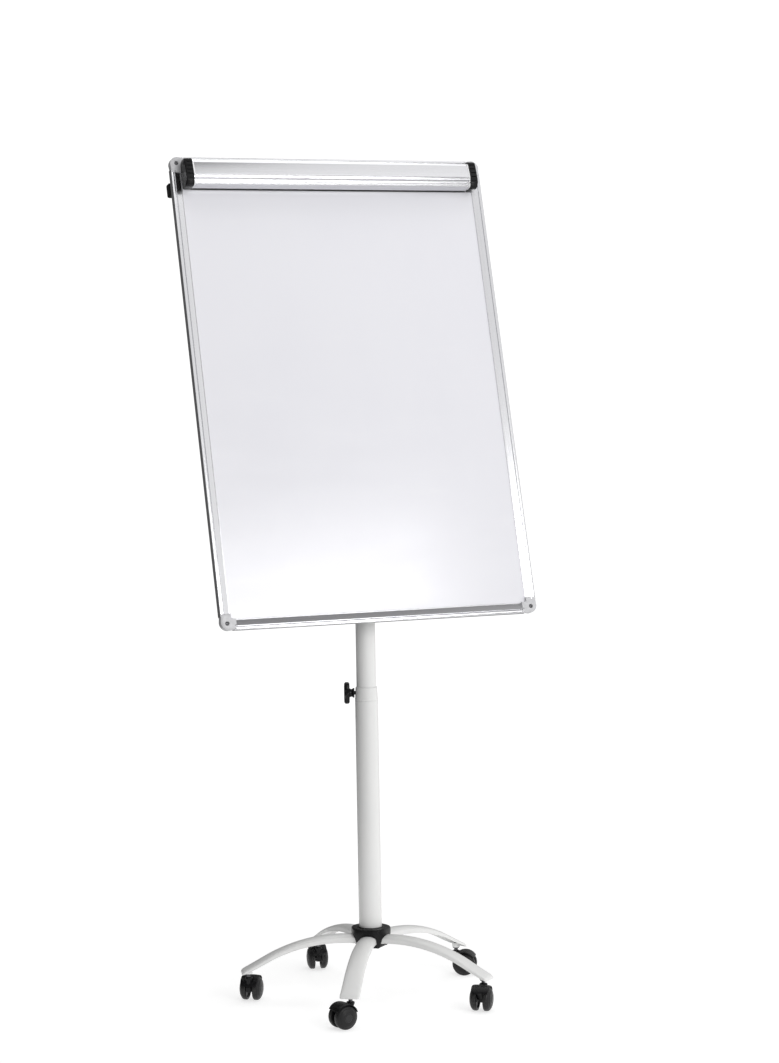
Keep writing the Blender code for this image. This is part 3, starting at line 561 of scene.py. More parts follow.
def build_hub():
    """Black moulding: a lobed ring over the legs, with a wall between each pair of legs."""
    steps = 120
    bottom_z, seat_z, floor_z, top_z = 0.107, 0.115, 0.1212, 0.149
    lobe_deg = [270.0 - (degrees + 36.0) for degrees in LEG_DEG]

    def rim(base, swell, z):
        ring = []
        for i in range(steps):
            angle = tau * i / steps
            wave = 0.5 + 0.5 * cos(5.0 * (angle - radians(lobe_deg[0])))
            radius = base + swell * wave
            ring.append((radius * cos(angle), radius * sin(angle), z))
        return ring

    def circle(radius, z):
        return [(radius * cos(tau * i / steps), radius * sin(tau * i / steps), z) for i in range(steps)]

    bore = LOWER_R + GAP
    rings = [circle(bore, top_z - 0.002), circle(bore + 0.0006, top_z + 0.0004)]
    rings += [circle(bore + 0.0030, top_z + 0.0006), circle(bore + 0.0040, top_z - 0.0006)]
    rings += [rim(0.0355, 0.0018, top_z - 0.0008), rim(0.0380, 0.0022, top_z - 0.0016)]
    rings += [rim(0.0396, 0.0024, top_z - 0.0036), rim(0.0400, 0.0026, top_z - 0.0080)]
    rings += [rim(0.0398, 0.0024, 0.1330), rim(0.0385, 0.0016, 0.1250), rim(0.0362, 0.0006, 0.1130)]
    rings += [rim(0.0350, 0.0000, bottom_z + 0.0012), circle(0.0340, bottom_z), circle(0.0105, bottom_z)]
    rings += [circle(0.0100, seat_z), circle(BOLT_BORE, seat_z), circle(BOLT_BORE, floor_z)]
    rings += [circle(bore, floor_z), circle(bore, top_z - 0.002)]
    bm = bmesh.new()
    loft(bm, rings, caps=False)
    bmesh.ops.remove_doubles(bm, verts=bm.verts, dist=1e-7)
    bm = carve(bm, [leg_cutter(heading(degrees)) for degrees in LEG_DEG])
    bmesh.ops.dissolve_degenerate(bm, edges=bm.edges, dist=2e-5)
    piece("hub_moulding", bm, AT_COLUMN, "base", BLACK, ["hub"], edge=0.0007, smooth=32.0)


def hex_bolt(bm, across, low, high, shank_r, tip, axis="Z"):
    """A hexagon head from low to high with a chamfered face, and its shank to the tip."""
    corner = 0.5 * across / cos(pi / 6)
    facing = -1.0 if tip > low else 1.0
    outer = low if facing < 0 else high
    inner = high if facing < 0 else low
    chamfer = 0.0008
    head = [(0.0, outer), (corner * 0.86, outer), (corner, outer - facing * chamfer)]
    lathe(bm, head + [(corner, inner), (0.0, inner)], 6, axis)
    shank = [(0.0, inner), (shank_r, inner), (shank_r, tip + facing * chamfer)]
    lathe(bm, shank + [(shank_r - chamfer, tip), (0.0, tip)], 24, axis)


def build_column_bolt():
    bm = bmesh.new()
    head_low, head_high = 0.1092, 0.1147
    hex_bolt(bm, BOLT_ACROSS, head_low, head_high, BOLT_R, 0.150)
    washer = [(0.0055, 0.1140), (0.0095, 0.1140), (0.0095, head_high), (0.0055, head_high)]
    lathe(bm, fillet(washer, 0.0002), 32, closed=True)
    piece("column_bolt_hex", bm, AT_COLUMN, "base", ZINC, ["column_bolt"], edge=0.0003)


def build_legs():
    for index, degrees in enumerate(LEG_DEG):
        at = AT_COLUMN @ heading(degrees)
        name = f"leg_{index + 1}"
        piece(name + "_pressing", leg_mesh(), at, "base", POWDER, [name], edge=0.0005, smooth=40.0)


# ---- Castors ------------------------------------------------------------------------------------
def castor_frame(number):
    """Seat on the floor under the stem; X along the trail and Y along the axle."""
    seat = Vector(JOINTS[f"castor_{number}_swivel"]["pos_m"])
    spin = JOINTS[f"wheel_{number}_left_spin"]
    trail = Vector(spin["pos_m"]) - seat
    turn = Matrix.Rotation(atan2(trail.y, trail.x), 4, "Z")
    return Matrix.Translation((seat.x, seat.y, 0.0)) @ turn


def castor_hood_mesh():
    """Curved fender over both wheels, the web between them, and the neck that holds the stem."""
    bm = bmesh.new()
    axle = Vector((CASTOR_TRAIL, WHEEL_R))
    sections = [(-0.0192, 0.0262), (-0.0186, 0.0270), (-0.0150, 0.0277), (-0.0075, 0.0281), (0.0, 0.0282)]
    sections += [(-y, r) for y, r in reversed(sections[:-1])]
    inner = [(0.0190, 0.0256), (0.0, 0.0257), (-0.0190, 0.0256)]
    rings = []
    steps = 22
    for i in range(steps + 1):
        angle = radians(162.0 - 128.0 * i / steps)
        pull = 1.0 - 0.10 * (abs(2.0 * i / steps - 1.0) ** 3)
        ring = []
        for y, r in sections + inner:
            ring.append((axle.x + r * cos(angle), y * pull, axle.y + r * sin(angle)))
        rings.append(ring)
    loft(bm, rings)
    web_half = 0.0052
    outline = arc(axle, 0.0266, 168.0, 34.0, 16) + arc(axle, 0.0085, 5.0, -150.0, 7)
    outline += [(CASTOR_TRAIL - 0.0255, 0.0205)]
    outline = fillet(outline, 0.0012, steps=2)
    prism(bm, [(x, -web_half, z) for x, z in outline], (0.0, 2 * web_half, 0.0))
    neck = [(0.0043, 0.0420), (0.0043, 0.0525), (0.0062, 0.0527), (0.0080, 0.0519), (0.0087, 0.0500)]
    neck += [(0.0080, 0.0470), (0.0064, 0.0440), (0.0058, 0.0300), (0.0043, 0.0300)]
    lathe(bm, neck, 32, closed=True)
    shaft = bmesh.new()
    lathe(shaft, [(0.0, -0.0185), (0.003, -0.0185), (0.003, 0.0185), (0.0, 0.0185)], 16, "Y")
    bmesh.ops.translate(shaft, verts=shaft.verts, vec=(CASTOR_TRAIL, 0.0, WHEEL_R))
    merge(bm, shaft)
    return bm


def wheel_mesh(side):
    """Domed wheel with a tread band, a moulded step and a hub cap; side is +1 or -1 along the axle."""
    profile = [(0.0, 0.0238), (0.0050, 0.0237), (0.0078, 0.0233), (0.0084, 0.0226), (0.0092, 0.0225)]
    profile += [(0.0100, 0.0229), (0.0150, 0.0221), (0.0186, 0.0207), (0.0196, 0.0196), (0.0204, 0.0195)]
    profile += [(0.0218, 0.0187), (0.0234, 0.0172), (0.0245, 0.0156), (0.0250, 0.0138), (0.0250, 0.0124)]
    profile += [(0.02475, 0.0121), (0.02475, 0.0117), (0.0250, 0.0114), (0.0250, 0.0090), (0.0246, 0.0076)]
    profile += [(0.0236, 0.0069), (0.0205, 0.0068), (0.0196, 0.0078), (0.0190, 0.0100), (0.0085, 0.0100)]
    profile += [(0.0078, 0.0078), (0.0070, 0.0068), (0.0033, 0.0068), (0.0033, 0.0188), (0.0, 0.0188)]
    bm = bmesh.new()
    lathe(bm, [(r, side * h) for r, h in profile], 64, "Y")
    return bm


def build_castors():
    stem_profile = [(0.0, 0.0410), (0.0040, 0.0410), (0.0040, 0.0575), (0.0062, 0.0575)]
    stem_profile += [(0.0066, 0.0579), (0.0066, 0.0588), (0.0062, 0.0592), (0.0040, 0.0592)]
    stem_profile += [(0.0040, 0.0695), (0.0032, 0.0704), (0.0, 0.0705)]
    for number in range(1, 6):
        at = castor_frame(number)
        hood = castor_hood_mesh()
        node = f"castor_body_{number}"
        piece(f"castor_hood_{number}", hood, at, f"castor_{number}", BLACK, [node], edge=0.0006)
        stem = bmesh.new()
        lathe(stem, stem_profile, 28)
        # The stem's dark steel tone is painted shade under the leg's tip.
        piece(f"castor_pin_{number}", stem, at, "base", SHADE_DARK_STEEL, [f"castor_stem_{number}"])
        axle = at @ Matrix.Translation((CASTOR_TRAIL, 0.0, WHEEL_R))
        for name, side in (("left", 1.0), ("right", -1.0)):
            node = f"castor_wheel_{number}_{name}"
            body = f"wheel_{number}_{name}"
            piece(body, wheel_mesh(side), axle, body, WHEEL, [node])


# ---- Column -------------------------------------------------------------------------------------
def build_tubes():
    foot_t = 0.004
    bm = bmesh.new()
    low, high = TUBE_LOW.z, TUBE_HIGH.z
    inner = LOWER_R - TUBE_WALL
    ring = [(BOLT_BORE, low), (LOWER_R, low), (LOWER_R, high), (inner, high)]
    ring += [(inner, low + foot_t), (BOLT_BORE, low + foot_t)]
    lathe(bm, fillet(ring, 0.0004), 96, closed=True)
    piece("lower_tube_skin", bm, AT_COLUMN, "base", POWDER, ["lower_tube"])

    bm = bmesh.new()
    low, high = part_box("upper_tube")
    inner = UPPER_R - TUBE_WALL
    ring = [(inner, low.z), (UPPER_R, low.z), (UPPER_R, high.z), (inner, high.z)]
    lathe(bm, fillet(ring, 0.0004), 96, closed=True)
    piece("upper_tube_skin", bm, AT_COLUMN, "mast", POWDER, ["upper_tube"])


def build_collar():
    """Tapered ring on the lower tube, with a shallow line above its shoulder."""
    low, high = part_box("height_collar")
    shoulder = TUBE_HIGH.z + GAP
    spigot_r = LOWER_R - TUBE_WALL - GAP
    ring = [(UPPER_R + GAP, low.z), (spigot_r, low.z), (spigot_r, shoulder), (LOWER_R, shoulder, 0.0003)]
    ring += [(LOWER_R + 0.0002, shoulder + 0.0030), (LOWER_R - 0.0004, shoulder + 0.0050, 0.0006)]
    ring += [(0.0226, high.z - 0.0012, 0.0012), (0.0218, high.z, 0.0008), (UPPER_R + GAP, high.z)]
    bm = bmesh.new()
    lathe(bm, fillet(ring, 0.0003), 96, closed=True)
    piece("height_collar_ring", bm, AT_COLUMN, "base", POWDER, ["height_collar"])


def lobed_ring(x, radius, depth, lobes=6, steps=12):
    ring = []
    for i in range(lobes * steps):
        angle = tau * i / (lobes * steps)
        swell = radius - depth * (0.5 - 0.5 * cos(lobes * angle)) ** 0.8
        ring.append((x, swell * cos(angle), swell * sin(angle)))
    return ring


def star_knob(bm, radius, low, high, boss):
    """A lobed knob along local X with rolled edges, a dished face, and its boss profile."""
    depth = 0.0046
    back = [(0.0, 0.62, 0.5), (0.0002, 0.86, 0.8), (0.0014, 0.955, 1.0), (0.0034, 1.0, 1.0)]
    face = [(0.0034, 1.0, 1.0), (0.0014, 0.95, 1.0), (0.0002, 0.84, 0.8), (0.0, 0.66, 0.3)]
    face += [(0.0010, 0.56, 0.0), (0.0012, 0.36, 0.0), (0.0004, 0.30, 0.0)]
    rings = [[(low, 0.0, 0.0)]]
    rings += [lobed_ring(low + inset, radius * share, depth * lobe) for inset, share, lobe in back]
    rings += [lobed_ring(high - inset, radius * share, depth * lobe) for inset, share, lobe in face]
    rings += [[(high - 0.0001, 0.0, 0.0)]]
    loft(bm, rings, caps=False)
    lathe(bm, boss, 40, "X")


def build_height_knob():
    at = Matrix.Translation(Vector(JOINTS["height_knob_turn"]["pos_m"])) @ heading(113.0)
    bm = bmesh.new()
    boss = [(0.0, 0.0211), (0.0040, 0.0211), (0.0040, 0.0252), (0.0098, 0.0252), (0.0103, 0.0258)]
    boss += [(0.0103, 0.0272), (0.0094, 0.0284), (0.0082, 0.0305), (0.0084, 0.0330), (0.0104, 0.0362)]
    boss += [(0.0112, 0.0375), (0.0, 0.0375)]
    star_knob(bm, 0.0244, 0.0352, 0.0468, boss)
    piece("height_star_knob", bm, at, "height_knob", GLOSS_BLACK, ["height_knob"], smooth=40.0)


# ---- Tilt head ----------------------------------------------------------------------------------
def build_tilt_head():
    finish_node("tilt_head", BLACK, 0.0008, 3)
    finish_node("board_bracket", ZINC, 0.0006, 2)
    finish_node("guide_bush", NYLON, 0.0003)
    ear_out = 0.0153  # outer face of the bracket's ears
    seat = -ear_out - GAP
    bm = bmesh.new()
    hex_bolt(bm, BOLT_ACROSS, seat - 0.0060, seat - 0.0008, BOLT_R, ear_out + 0.022, "X")
    washer = [(0.0055, seat - 0.0010), (0.0100, seat - 0.0010), (0.0100, seat), (0.0055, seat)]
    lathe(bm, fillet(washer, 0.0002), 36, "X", closed=True)
    piece("tilt_bolt_hex", bm, AT_PIVOT, "mast", ZINC, ["tilt_bolt"], edge=0.0003)
    bm = bmesh.new()
    low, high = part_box("tilt_knob")
    start = low.x
    boss = [(BOLT_BORE, 0.0150), (BOLT_BORE, 0.0), (0.0098, 0.0), (0.0103, 0.0006), (0.0100, 0.0022)]
    boss += [(0.0084, 0.0045), (0.0086, 0.0070), (0.0106, 0.0110), (0.0, 0.0115)]
    star_knob(bm, 0.0232, start + 0.0098, high.x, [(r, start + x) for r, x in boss])
    piece("tilt_star_knob", bm, AT_PIVOT, "tilt_knob", GLOSS_BLACK, ["tilt_knob"], smooth=40.0)


def pan_screw(bm, radius=0.0038, height=0.0016):
    """Pan head with a cross recess, facing local -Y."""
    dome = [(0.0, -height)]
    for degrees in (15, 30, 45, 60, 75):
        dome.append((radius * sin(radians(degrees)), -height * cos(radians(degrees)) ** 0.7))
    dome += [(radius, 0.0), (0.0, 0.0)]
    lathe(bm, dome, 28, "Y")


def screw_mesh(radius=0.0038, height=0.0016):
    head = bmesh.new()
    pan_screw(head, radius, height)
    slots = []
    for long_x, long_z in ((0.62 * radius, 0.16 * radius), (0.16 * radius, 0.62 * radius)):
        slot = bmesh.new()
        block(slot, (-long_x, -2.0 * height, -long_z), (long_x, -0.45 * height, long_z))
        slots.append(slot)
    return carve(head, slots)


def build_bracket_screws():
    """Four pan-head screws that hold the bracket's plate on the board's back."""
    plate_t = 0.0025
    plate_back = -(SHEET_RECESS + PANEL_T + plate_t + GAP)
    for i, (u, v) in enumerate(((-0.043, 0.117), (0.043, 0.117), (-0.043, 0.273), (0.043, 0.273))):
        at = ON_BOARD @ Matrix.Translation((u, -plate_back, v)) @ Matrix.Rotation(pi, 4, "X")
        piece(f"bracket_screw_{i + 1}", screw_mesh(0.0045, 0.0022), at, "board", ZINC)


# ---- Board --------------------------------------------------------------------------------------
def rail_outline():
    """(inward, front) outline of the frame: rounded lip, groove, sloped inner band and panel slot."""
    lip = -SHEET_RECESS + GAP
    back = -(SHEET_RECESS + PANEL_T)
    slot = PANEL_INSET - GAP
    points = [(STEP_IN, -FRAME_DEPTH, 0.0010), (STEP_IN, -STEP_FRONT, 0.0), (0.0, -STEP_FRONT, 0.0006)]
    points += [(0.0, -0.0022, 0.0), (0.0003, -0.0010, 0.0), (0.0011, -0.0001, 0.0), (0.0022, 0.0003, 0.0)]
    points += [(0.0060, 0.0003, 0.0), (0.0070, -0.0001, 0.0), (0.0076, -0.0009, 0.0)]
    points += [(0.0078, -0.0017, 0.0002), (0.0086, -0.0017, 0.0002), (0.0089, 0.0002, 0.0003)]
    points += [(0.0211, -0.0039, 0.0004), (0.0217, -0.0033, 0.0003), (0.0229, -0.0034, 0.0004)]
    points += [(RAIL_W, lip, 0.0), (slot, lip, 0.0), (slot, back, 0.0)]
    points += [(0.018, back, 0.0), (0.018, -FRAME_DEPTH, 0.0012)]
    return fillet(points, 0.0003, steps=3)


def build_rails():
    section = rail_outline()
    reach = CORNER_SIZE - 0.006  # the rails run on inside the corner pieces
    side_run = BOARD_H - 2 * reach
    for name, sign in (("rail_left", -1.0), ("rail_right", 1.0)):
        bm = bmesh.new()
        outline = [(sign * (0.5 * BOARD_W - a), -b, reach) for a, b in section]
        prism(bm, outline, (0.0, 0.0, side_run))
        piece(name + "_profile", bm, ON_BOARD, "board", ALU_UP, [name], smooth=28.0)
    for name, start, sign in (("rail_bottom", 0.0, 1.0), ("rail_top", BOARD_H, -1.0)):
        bm = bmesh.new()
        outline = [(-0.5 * BOARD_W + reach, -b, start + sign * a) for a, b in section]
        prism(bm, outline, (BOARD_W - 2 * reach, 0.0, 0.0))
        piece(name + "_profile", bm, ON_BOARD, "board", ALU_ACROSS, [name], smooth=28.0)


def corner_outline(grow=0.0):
    """L shape of a corner piece, rounded outside, from its outer corner at (0, 0)."""
    size = CORNER_SIZE + grow
    inner = RAIL_W + 0.0006 + grow
    shape = arc((CORNER_R, CORNER_R), CORNER_R + grow, 180.0, 270.0, 14)
    legs = [(size, -grow), (size, inner), (inner, inner, 0.005), (inner, size), (-grow, size)]
    shape += fillet(legs, 0.0012, steps=4)
    return shape


def build_corners():
    """Moulded corner pieces with a raised lip, a stepped inner band and a screw."""
    for across_name, across_sign in (("left", -1.0), ("right", 1.0)):
        for up_name, up_start, up_sign in (("bottom", 0.0, 1.0), ("top", BOARD_H, -1.0)):
            node = f"corner_{up_name}_{across_name}"

            def spot(a, b, front, across_sign=across_sign, up_start=up_start, up_sign=up_sign):
                return (across_sign * (0.5 * BOARD_W - a), -front, up_start + up_sign * b)

            bm = bmesh.new()
            levels = [(-FRAME_DEPTH - 0.0002, -0.0060), (-FRAME_DEPTH + 0.0008, -0.0052)]
            levels += [(-STEP_FRONT - 0.0001, -0.0052), (-STEP_FRONT, -0.0008)]
            levels += [(-STEP_FRONT + 0.0008, 0.0), (CORNER_PROUD - 0.0014, 0.0)]
            levels += [(CORNER_PROUD - 0.0004, -0.0005), (CORNER_PROUD, -0.0014)]
            rings = []
            for front, grow in levels:
                ring = []
                for a, b in corner_outline():
                    toward = Vector((0.0155 - a, 0.0155 - b))
                    shift = toward.normalized() * -grow if toward.length > 1e-6 else Vector((0.0, 0.0))
                    ring.append(spot(a + shift.x, b + shift.y, front))
                rings.append(ring)
            loft(bm, rings)
            slots = []
            for low, high in (((0.0092, 0.0295), (0.0108, 0.0350)), ((0.0295, 0.0092), (0.0350, 0.0108))):
                slot = bmesh.new()
                a = sorted((spot(low[0], 0, 0)[0], spot(high[0], 0, 0)[0]))
                b = sorted((spot(0, low[1], 0)[2], spot(0, high[1], 0)[2]))
                block(slot, (a[0], -0.0040, b[0]), (a[1], 0.0004, b[1]))
                slots.append(slot)
            well = bmesh.new()
            lathe(well, [(0.0, -0.0040), (0.0046, -0.0040), (0.0046, 0.0012), (0.0, 0.0012)], 28, "Y")
            centre = spot(0.0140, 0.0140, 0.0)
            bmesh.ops.translate(well, verts=well.verts, vec=centre)
            panel = bmesh.new()
            a = sorted((spot(PANEL_INSET - GAP, 0, 0)[0], spot(0.050, 0, 0)[0]))
            b = sorted((spot(0, PANEL_INSET - GAP, 0)[2], spot(0, 0.050, 0)[2]))
            block(panel, (a[0], SHEET_RECESS - GAP, b[0]), (a[1], SHEET_RECESS + PANEL_T + GAP, b[1]))
            bm = carve(bm, slots + [well, panel])
            piece(node + "_moulding", bm, ON_BOARD, "board", CORNER, [node], edge=0.0003, smooth=30.0)
            at = ON_BOARD @ Matrix.Translation((centre[0], 0.0012, centre[2]))
            # The screw's dark steel tone is painted shade in its well.
            piece(node + "_screw", screw_mesh(0.0040, 0.0016), at, "board", SHADE_DARK_STEEL)


# ---- Pad clamp ----------------------------------------------------------------------------------
def clamp_outline():
    """(front, up) outline of the clamp's section: flat face, groove and rounded lower bead."""
    points = [(0.0095, 0.9828, 0.0004), (0.0264, 0.9828, 0.0004), (0.0288, 0.9788, 0.0004)]
    points += [(0.0328, 0.9520, 0.0050)]
    points += [(0.0315, 0.9455, 0.0004), (0.0292, 0.9449, 0.0002), (0.0288, 0.9419, 0.0002)]
    points += [(0.0306, 0.9411, 0.0004), (0.0284, 0.9362, 0.0030), (0.0271, 0.9330, 0.0012)]
    points += [(0.0240, 0.9312, 0.0020), (0.0100, 0.9302, 0.0020)]
    points += [(0.0010, 0.9302, 0.0005), (0.0010, 0.9318, 0.0), (0.0100, 0.9318, 0.0)]
    points += [(0.0200, 0.9332, 0.0040), (0.0256, 0.9378, 0.0040), (0.0268, 0.9480, 0.0010)]
    points += [(0.0262, 0.9780, 0.0020), (0.0225, 0.9812, 0.0010), (0.0095, 0.9812, 0.0004)]
    return fillet(points, 0.0003, steps=5)


def clamp_place(front, up, u):
    return (u, -front, up)


def build_clamp():
    bm = bmesh.new()
    outline = [clamp_place(n, v, -CLAMP_HALF) for n, v in clamp_outline()]
    prism(bm, outline, (2 * CLAMP_HALF, 0.0, 0.0))
    notches = []
    for sign in (-1.0, 1.0):
        notch = bmesh.new()
        span = sorted((sign * 0.3065, sign * 0.3125))
        block(notch, (span[0], -0.0165, 0.9785), (span[1], -0.0080, 0.9900))
        notches.append(notch)
    bm = carve(bm, notches)
    piece("clamp_profile", bm, ON_BOARD, "clamp", ALU_ACROSS, ["clamp_bar"], smooth=28.0)

    for side, sign in (("left", -1.0), ("right", 1.0)):
        bm = bmesh.new()
        proud = [(0.0100, 0.9832), (0.0268, 0.9832, 0.0010), (0.0294, 0.9800), (0.0331, 0.9520, 0.0050)]
        proud += [(0.0288, 0.9360, 0.0030), (0.0275, 0.9326, 0.0015), (0.0242, 0.9308, 0.0020)]
        proud += [(0.0120, 0.9299), (0.0120, 0.9320)]
        proud += [(0.0200, 0.9334, 0.0040), (0.0254, 0.9378, 0.0040), (0.0260, 0.9816), (0.0100, 0.9816)]
        proud = fillet(proud, 0.0003)
        prism(bm, [clamp_place(n, v, sign * 0.3128) for n, v in proud], (sign * 0.0027, 0.0, 0.0))
        piece(f"clamp_trim_{side}", bm, ON_BOARD, "clamp", CORNER_WHITE, smooth=30.0)

    bm = bmesh.new()
    strip = [(0.0007, 0.9290), (0.0007, 0.9316), (-0.0030, 0.9318), (-0.0040, 0.9304), (-0.0030, 0.9290)]
    reach = CLAMP_HALF - 0.001
    prism(bm, [clamp_place(n, v, -reach) for n, v in fillet(strip, 0.0006)], (2 * reach, 0.0, 0.0))
    piece("clamp_strip_rubber", bm, ON_BOARD, "clamp", RUBBER, ["clamp_strip"])


def cap_outline():
    """(front, up) outline of an end cap, rounded about the hinge at its back."""
    back = arc((HINGE_N, HINGE_V), 0.0097, 190.0, 92.0, 10)
    front = [(0.0250, 0.9885, 0.0025), (0.0298, 0.9852, 0.0035), (0.0338, 0.9490, 0.0010)]
    front += [(0.0334, 0.9392, 0.0050), (0.0275, 0.9302, 0.0060), (0.0200, 0.9282, 0.0030)]
    front += [(0.0014, 0.9280, 0.0010)]
    return back + fillet(front, 0.0008, closed=False, steps=5)


def build_caps():
    """Black end caps with finger grooves, a rounded end and the hinge pin."""
    levels = [(0.0, 0.985), (0.0010, 1.0), (CAP_T - 0.0035, 1.0), (CAP_T - 0.0012, 0.975), (CAP_T, 0.90)]
    pin_end = CLAMP_HALF + 0.002
    rod = [(0.0, 0.3035), (0.0021, 0.3035), (0.0025, 0.3040), (0.0025, pin_end), (0.0, pin_end)]
    outline = cap_outline()
    centre = Vector((0.0175, 0.9570))
    for name, sign in (("clamp_cap_left", -1.0), ("clamp_cap_right", 1.0)):
        start = sign * (CLAMP_HALF + GAP)
        rings = []
        for depth, shrink in levels:
            ring = []
            for n, v in outline:
                point = centre + (Vector((n, v)) - centre) * shrink
                ring.append(clamp_place(point.x, point.y, start + sign * depth))
            rings.append(ring)
        bm = bmesh.new()
        loft(bm, rings)
        grooves = []
        for v in (0.9440, 0.9530, 0.9620, 0.9710, 0.9800):
            groove = bmesh.new()
            face = 0.0298 + 0.1105 * (0.9852 - v)
            span = sorted((start + sign * 0.0024, start + sign * (CAP_T - 0.0030)))
            wedge = [(face - 0.0016, v), (face + 0.0022, v - 0.0030), (face + 0.0022, v + 0.0030)]
            prism(groove, [clamp_place(n, w, span[0]) for n, w in wedge], (span[1] - span[0], 0.0, 0.0))
            grooves.append(groove)
        bm = carve(bm, grooves)
        pin = bmesh.new()
        lathe(pin, [(r, sign * h) for r, h in rod], 20, "X")
        bmesh.ops.translate(pin, verts=pin.verts, vec=(0.0, -HINGE_N, HINGE_V))
        merge(bm, pin)
        piece(name + "_moulding", bm, ON_BOARD, "clamp", GLOSS_BLACK, [name], edge=0.0005, smooth=30.0)


# ---- Side arms ----------------------------------------------------------------------------------
def build_arms():
    front = -FRAME_DEPTH - GAP
    half = 0.5 * ARM_HEIGHT
    wall = 0.0015
    back = front - ARM_GUIDE_DEPTH
    section = [(front, -half), (back, -half, 0.0015), (back, half, 0.0015), (front, half)]
    section += [(front, half - wall), (back + wall, half - wall)]
    section += [(back + wall, wall - half), (front, wall - half)]
    outline = [(-ARM_GUIDE_HALF, -n, ARM_V + v) for n, v in fillet(section, 0.0003)]
    bm = bmesh.new()
    prism(bm, outline, (2 * ARM_GUIDE_HALF, 0.0, 0.0))
    piece("arm_guide_channel", bm, ON_BOARD, "board", ALU_ACROSS, ["arm_guide"], smooth=28.0)
    for name, sign in (("left", -1.0), ("right", 1.0)):
        body = f"side_arm_{name}"
        bm = bmesh.new()
        n0, n1, h = front - 0.0122, front - 0.0022, 0.0105
        bar = fillet([(n0, -h), (n1, -h), (n1, h), (n0, h)], 0.0022, steps=5)
        prism(bm, [(sign * 0.012, -n, ARM_V + v) for n, v in bar], (sign * 0.337, 0.0, 0.0))
        piece(f"arm_bar_{name}", bm, ON_BOARD, body, POWDER, [f"arm_{name}"])
        build_arm_end(name, sign, body, front)


def build_arm_end(name, sign, body, front):
    """Rounded cap over the bar's end."""
    start, end = ARM_GUIDE_HALF + 0.0010, ARM_END_U
    levels = [(start, 0.97), (start + 0.0008, 1.0), (end - 0.0030, 1.0), (end - 0.0010, 0.95), (end, 0.86)]
    half = 0.5 * ARM_HEIGHT
    back = front - ARM_GUIDE_DEPTH
    rings = []
    outline = fillet([(front, -half), (back, -half), (back, half), (front, half)], 0.0030, steps=5)
    middle = 0.5 * (front + back)
    for u, shrink in levels:
        ring = [(middle + (n - middle) * shrink, v * shrink) for n, v in outline]
        rings.append([(sign * u, -n, ARM_V + v) for n, v in ring])
    bm = bmesh.new()
    loft(bm, rings)
    piece(f"arm_cap_{name}", bm, ON_BOARD, body, BLACK, [f"arm_end_{name}"], edge=0.0004, smooth=30.0)


# ---- Nodes that keep their own shape ------------------------------------------------------------
def finish_nodes():
    finish_node("writing_sheet", ENAMEL)
    finish_node("board_core", FIBRE)
    finish_node("back_sheet", GALVANISED)
    for side in ("left", "right"):
        finish_node(f"clamp_lug_{side}", ZINC, 0.0004)
        finish_node(f"pad_hook_{side}", BLACK, 0.0005)


# ---- Stage --------------------------------------------------------------------------------------
def build_floor():
    """A round sheet of white paper under the stand."""
    bm = bmesh.new()
    lathe(bm, [(1.15, 0.0), (0.7, 0.0), (0.0, 0.0)], 96)
    bmesh.ops.recalc_face_normals(bm, faces=bm.faces)
    mesh = bpy.data.meshes.new("floor")
    bm.to_mesh(mesh)
    bm.free()
    floor = bpy.data.objects.new("floor", mesh)
    bpy.context.collection.objects.link(floor)
    sh = Shader("floor_paper", (0.50, 0.50, 0.50), 0.9, Specular_IOR_Level=0.0)
    sh.tint(sh.ramp(sh.noise(2.0, 2.0), 0.4, 0.7, 0.0, 0.4), (0.52, 0.52, 0.52))
    sh.set("Emission Color", (1.0, 1.0, 1.0, 1.0))
    sh.set("Emission Strength", 0.68)
    mesh.materials.append(sh.mat)


def area_light(name, place, aim, size, radiance):
    light = bpy.data.lights.new(name, "AREA")
    light.shape = "RECTANGLE"
    light.size, light.size_y = size
    light.energy = radiance * pi * size[0] * size[1]
    obj = bpy.data.objects.new(name, light)
    bpy.context.collection.objects.link(obj)
    obj.location = place
    obj.visible_camera = False
    obj.rotation_euler = (Vector(aim) - Vector(place)).to_track_quat("-Z", "Y").to_euler()
    return obj


def build_lights():
    area_light("key_panel", (0.70, -2.82, 1.72), (0.0, 0.0, 1.0), (1.50, 1.05), 5.15)
    area_light("low_strip", (1.00, -2.75, 0.32), (0.0, 0.0, 0.4), (0.30, 0.60), 7.0)
    area_light("high_panel", (0.38, -0.84, 2.72), (0.0, -0.06, 1.77), (1.9, 0.42), 0.80)
    area_light("top_panel", (0.2, 0.9, 3.6), (0.2, 0.9, 0.0), (4.5, 3.4), 1.35)
    world = bpy.data.worlds.new("studio")
    bpy.context.scene.world = world
    world.use_nodes = True
    build_backdrop(world)


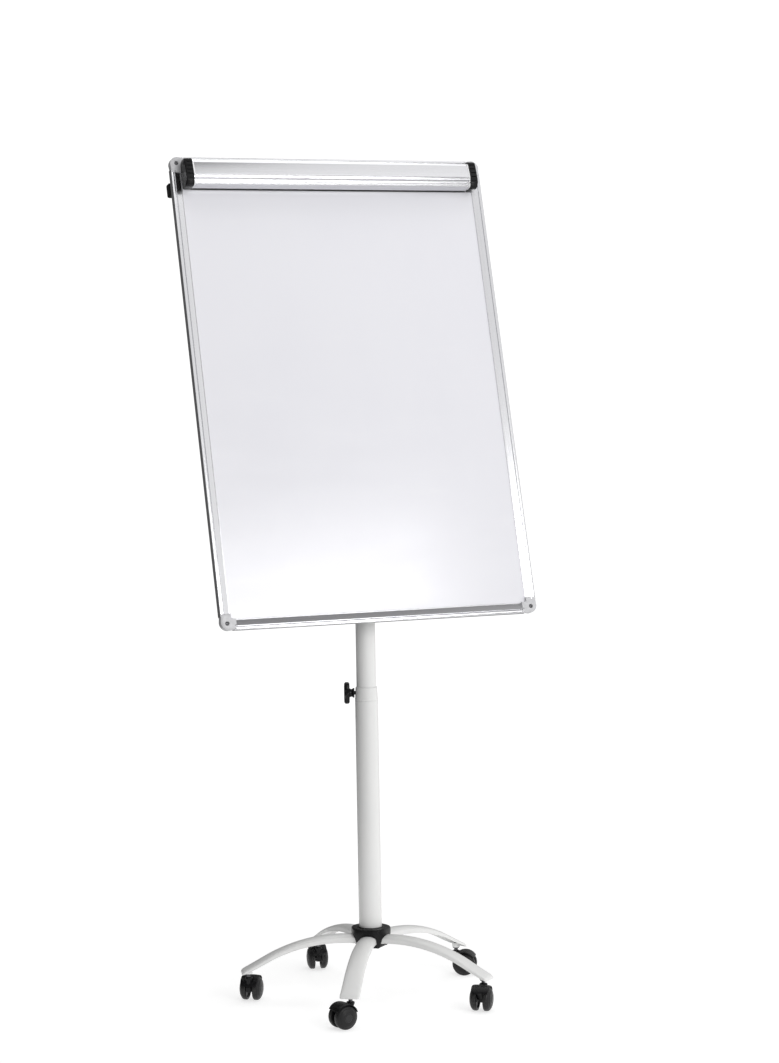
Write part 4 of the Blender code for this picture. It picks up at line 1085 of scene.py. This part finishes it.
def build_backdrop(world):
    """Light from the right and in front, dark overhead and behind the camera; the camera sees white."""
    nodes, links = world.node_tree.nodes, world.node_tree.links
    shade = nodes["Background"]
    shade.inputs["Color"].default_value = (1.0, 1.0, 1.0, 1.0)
    direction = nodes.new("ShaderNodeTexCoord")
    along = nodes.new("ShaderNodeVectorMath")
    along.operation = "DOT_PRODUCT"
    along.inputs[1].default_value = Vector((0.72, -0.62, 0.30)).normalized()
    links.new(direction.outputs["Generated"], along.inputs[0])
    strength = smooth_range(world.node_tree, along.outputs["Value"], -0.45, 0.85, 0.11, 1.0)
    split = nodes.new("ShaderNodeSeparateXYZ")
    links.new(direction.outputs["Generated"], split.inputs["Vector"])
    ceiling = smooth_range(world.node_tree, split.outputs["Z"], 0.56, 0.74, 1.0, 0.20)
    room = nodes.new("ShaderNodeVectorMath")
    room.operation = "DOT_PRODUCT"
    room.inputs[1].default_value = Vector((0.38, -0.92, 0.02)).normalized()
    links.new(direction.outputs["Generated"], room.inputs[0])
    far = smooth_range(world.node_tree, room.outputs["Value"], 0.925, 0.985, 1.0, 0.20)
    for factor in (ceiling, far):
        product = nodes.new("ShaderNodeMath")
        product.operation = "MULTIPLY"
        links.new(strength, product.inputs[0])
        links.new(factor, product.inputs[1])
        strength = product.outputs["Value"]
    links.new(strength, shade.inputs["Strength"])
    seen = nodes.new("ShaderNodeBackground")
    seen.inputs["Color"].default_value = (1.0, 1.0, 1.0, 1.0)
    seen.inputs["Strength"].default_value = 1.1
    path = nodes.new("ShaderNodeLightPath")
    mix = nodes.new("ShaderNodeMixShader")
    links.new(path.outputs["Is Camera Ray"], mix.inputs["Fac"])
    links.new(shade.outputs["Background"], mix.inputs[1])
    links.new(seen.outputs["Background"], mix.inputs[2])
    links.new(mix.outputs["Shader"], nodes["World Output"].inputs["Surface"])


def build_camera():
    """Eye height, 23 degrees to the left of the board, 5.3 m away, long lens."""
    azimuth, distance, height = radians(23.106), 5.291, 1.318
    aim, pitch, roll = radians(-1.224), radians(3.611), radians(-1.082)
    place = COLUMN + Vector((-distance * sin(azimuth), -distance * cos(azimuth), height))
    yaw = azimuth + aim
    ahead = Vector((sin(yaw), cos(yaw), 0.0))
    right = Vector((cos(yaw), -sin(yaw), 0.0))
    up = Vector((0.0, 0.0, 1.0))
    look = ahead * cos(pitch) - up * sin(pitch)
    level_up = up * cos(pitch) + ahead * sin(pitch)
    axis_x = right * cos(roll) + level_up * sin(roll)
    axis_y = -right * sin(roll) + level_up * cos(roll)
    turn = Matrix((axis_x, axis_y, -look)).transposed().to_4x4()
    data = bpy.data.cameras.new("camera")
    data.lens = 85.98
    data.sensor_width = 36.0
    data.shift_x = 0.0753
    data.clip_start = 0.05
    camera = bpy.data.objects.new("camera", data)
    bpy.context.collection.objects.link(camera)
    camera.matrix_world = Matrix.Translation(place) @ turn
    bpy.context.scene.camera = camera


build_camera()
build_lights()
build_floor()
build_hub()
build_column_bolt()
build_legs()
build_castors()
build_tubes()
build_collar()
build_height_knob()
build_tilt_head()
build_bracket_screws()
build_rails()
build_corners()
build_clamp()
build_caps()
build_arms()
finish_nodes()
bpy.context.scene.view_settings.view_transform = "Standard"
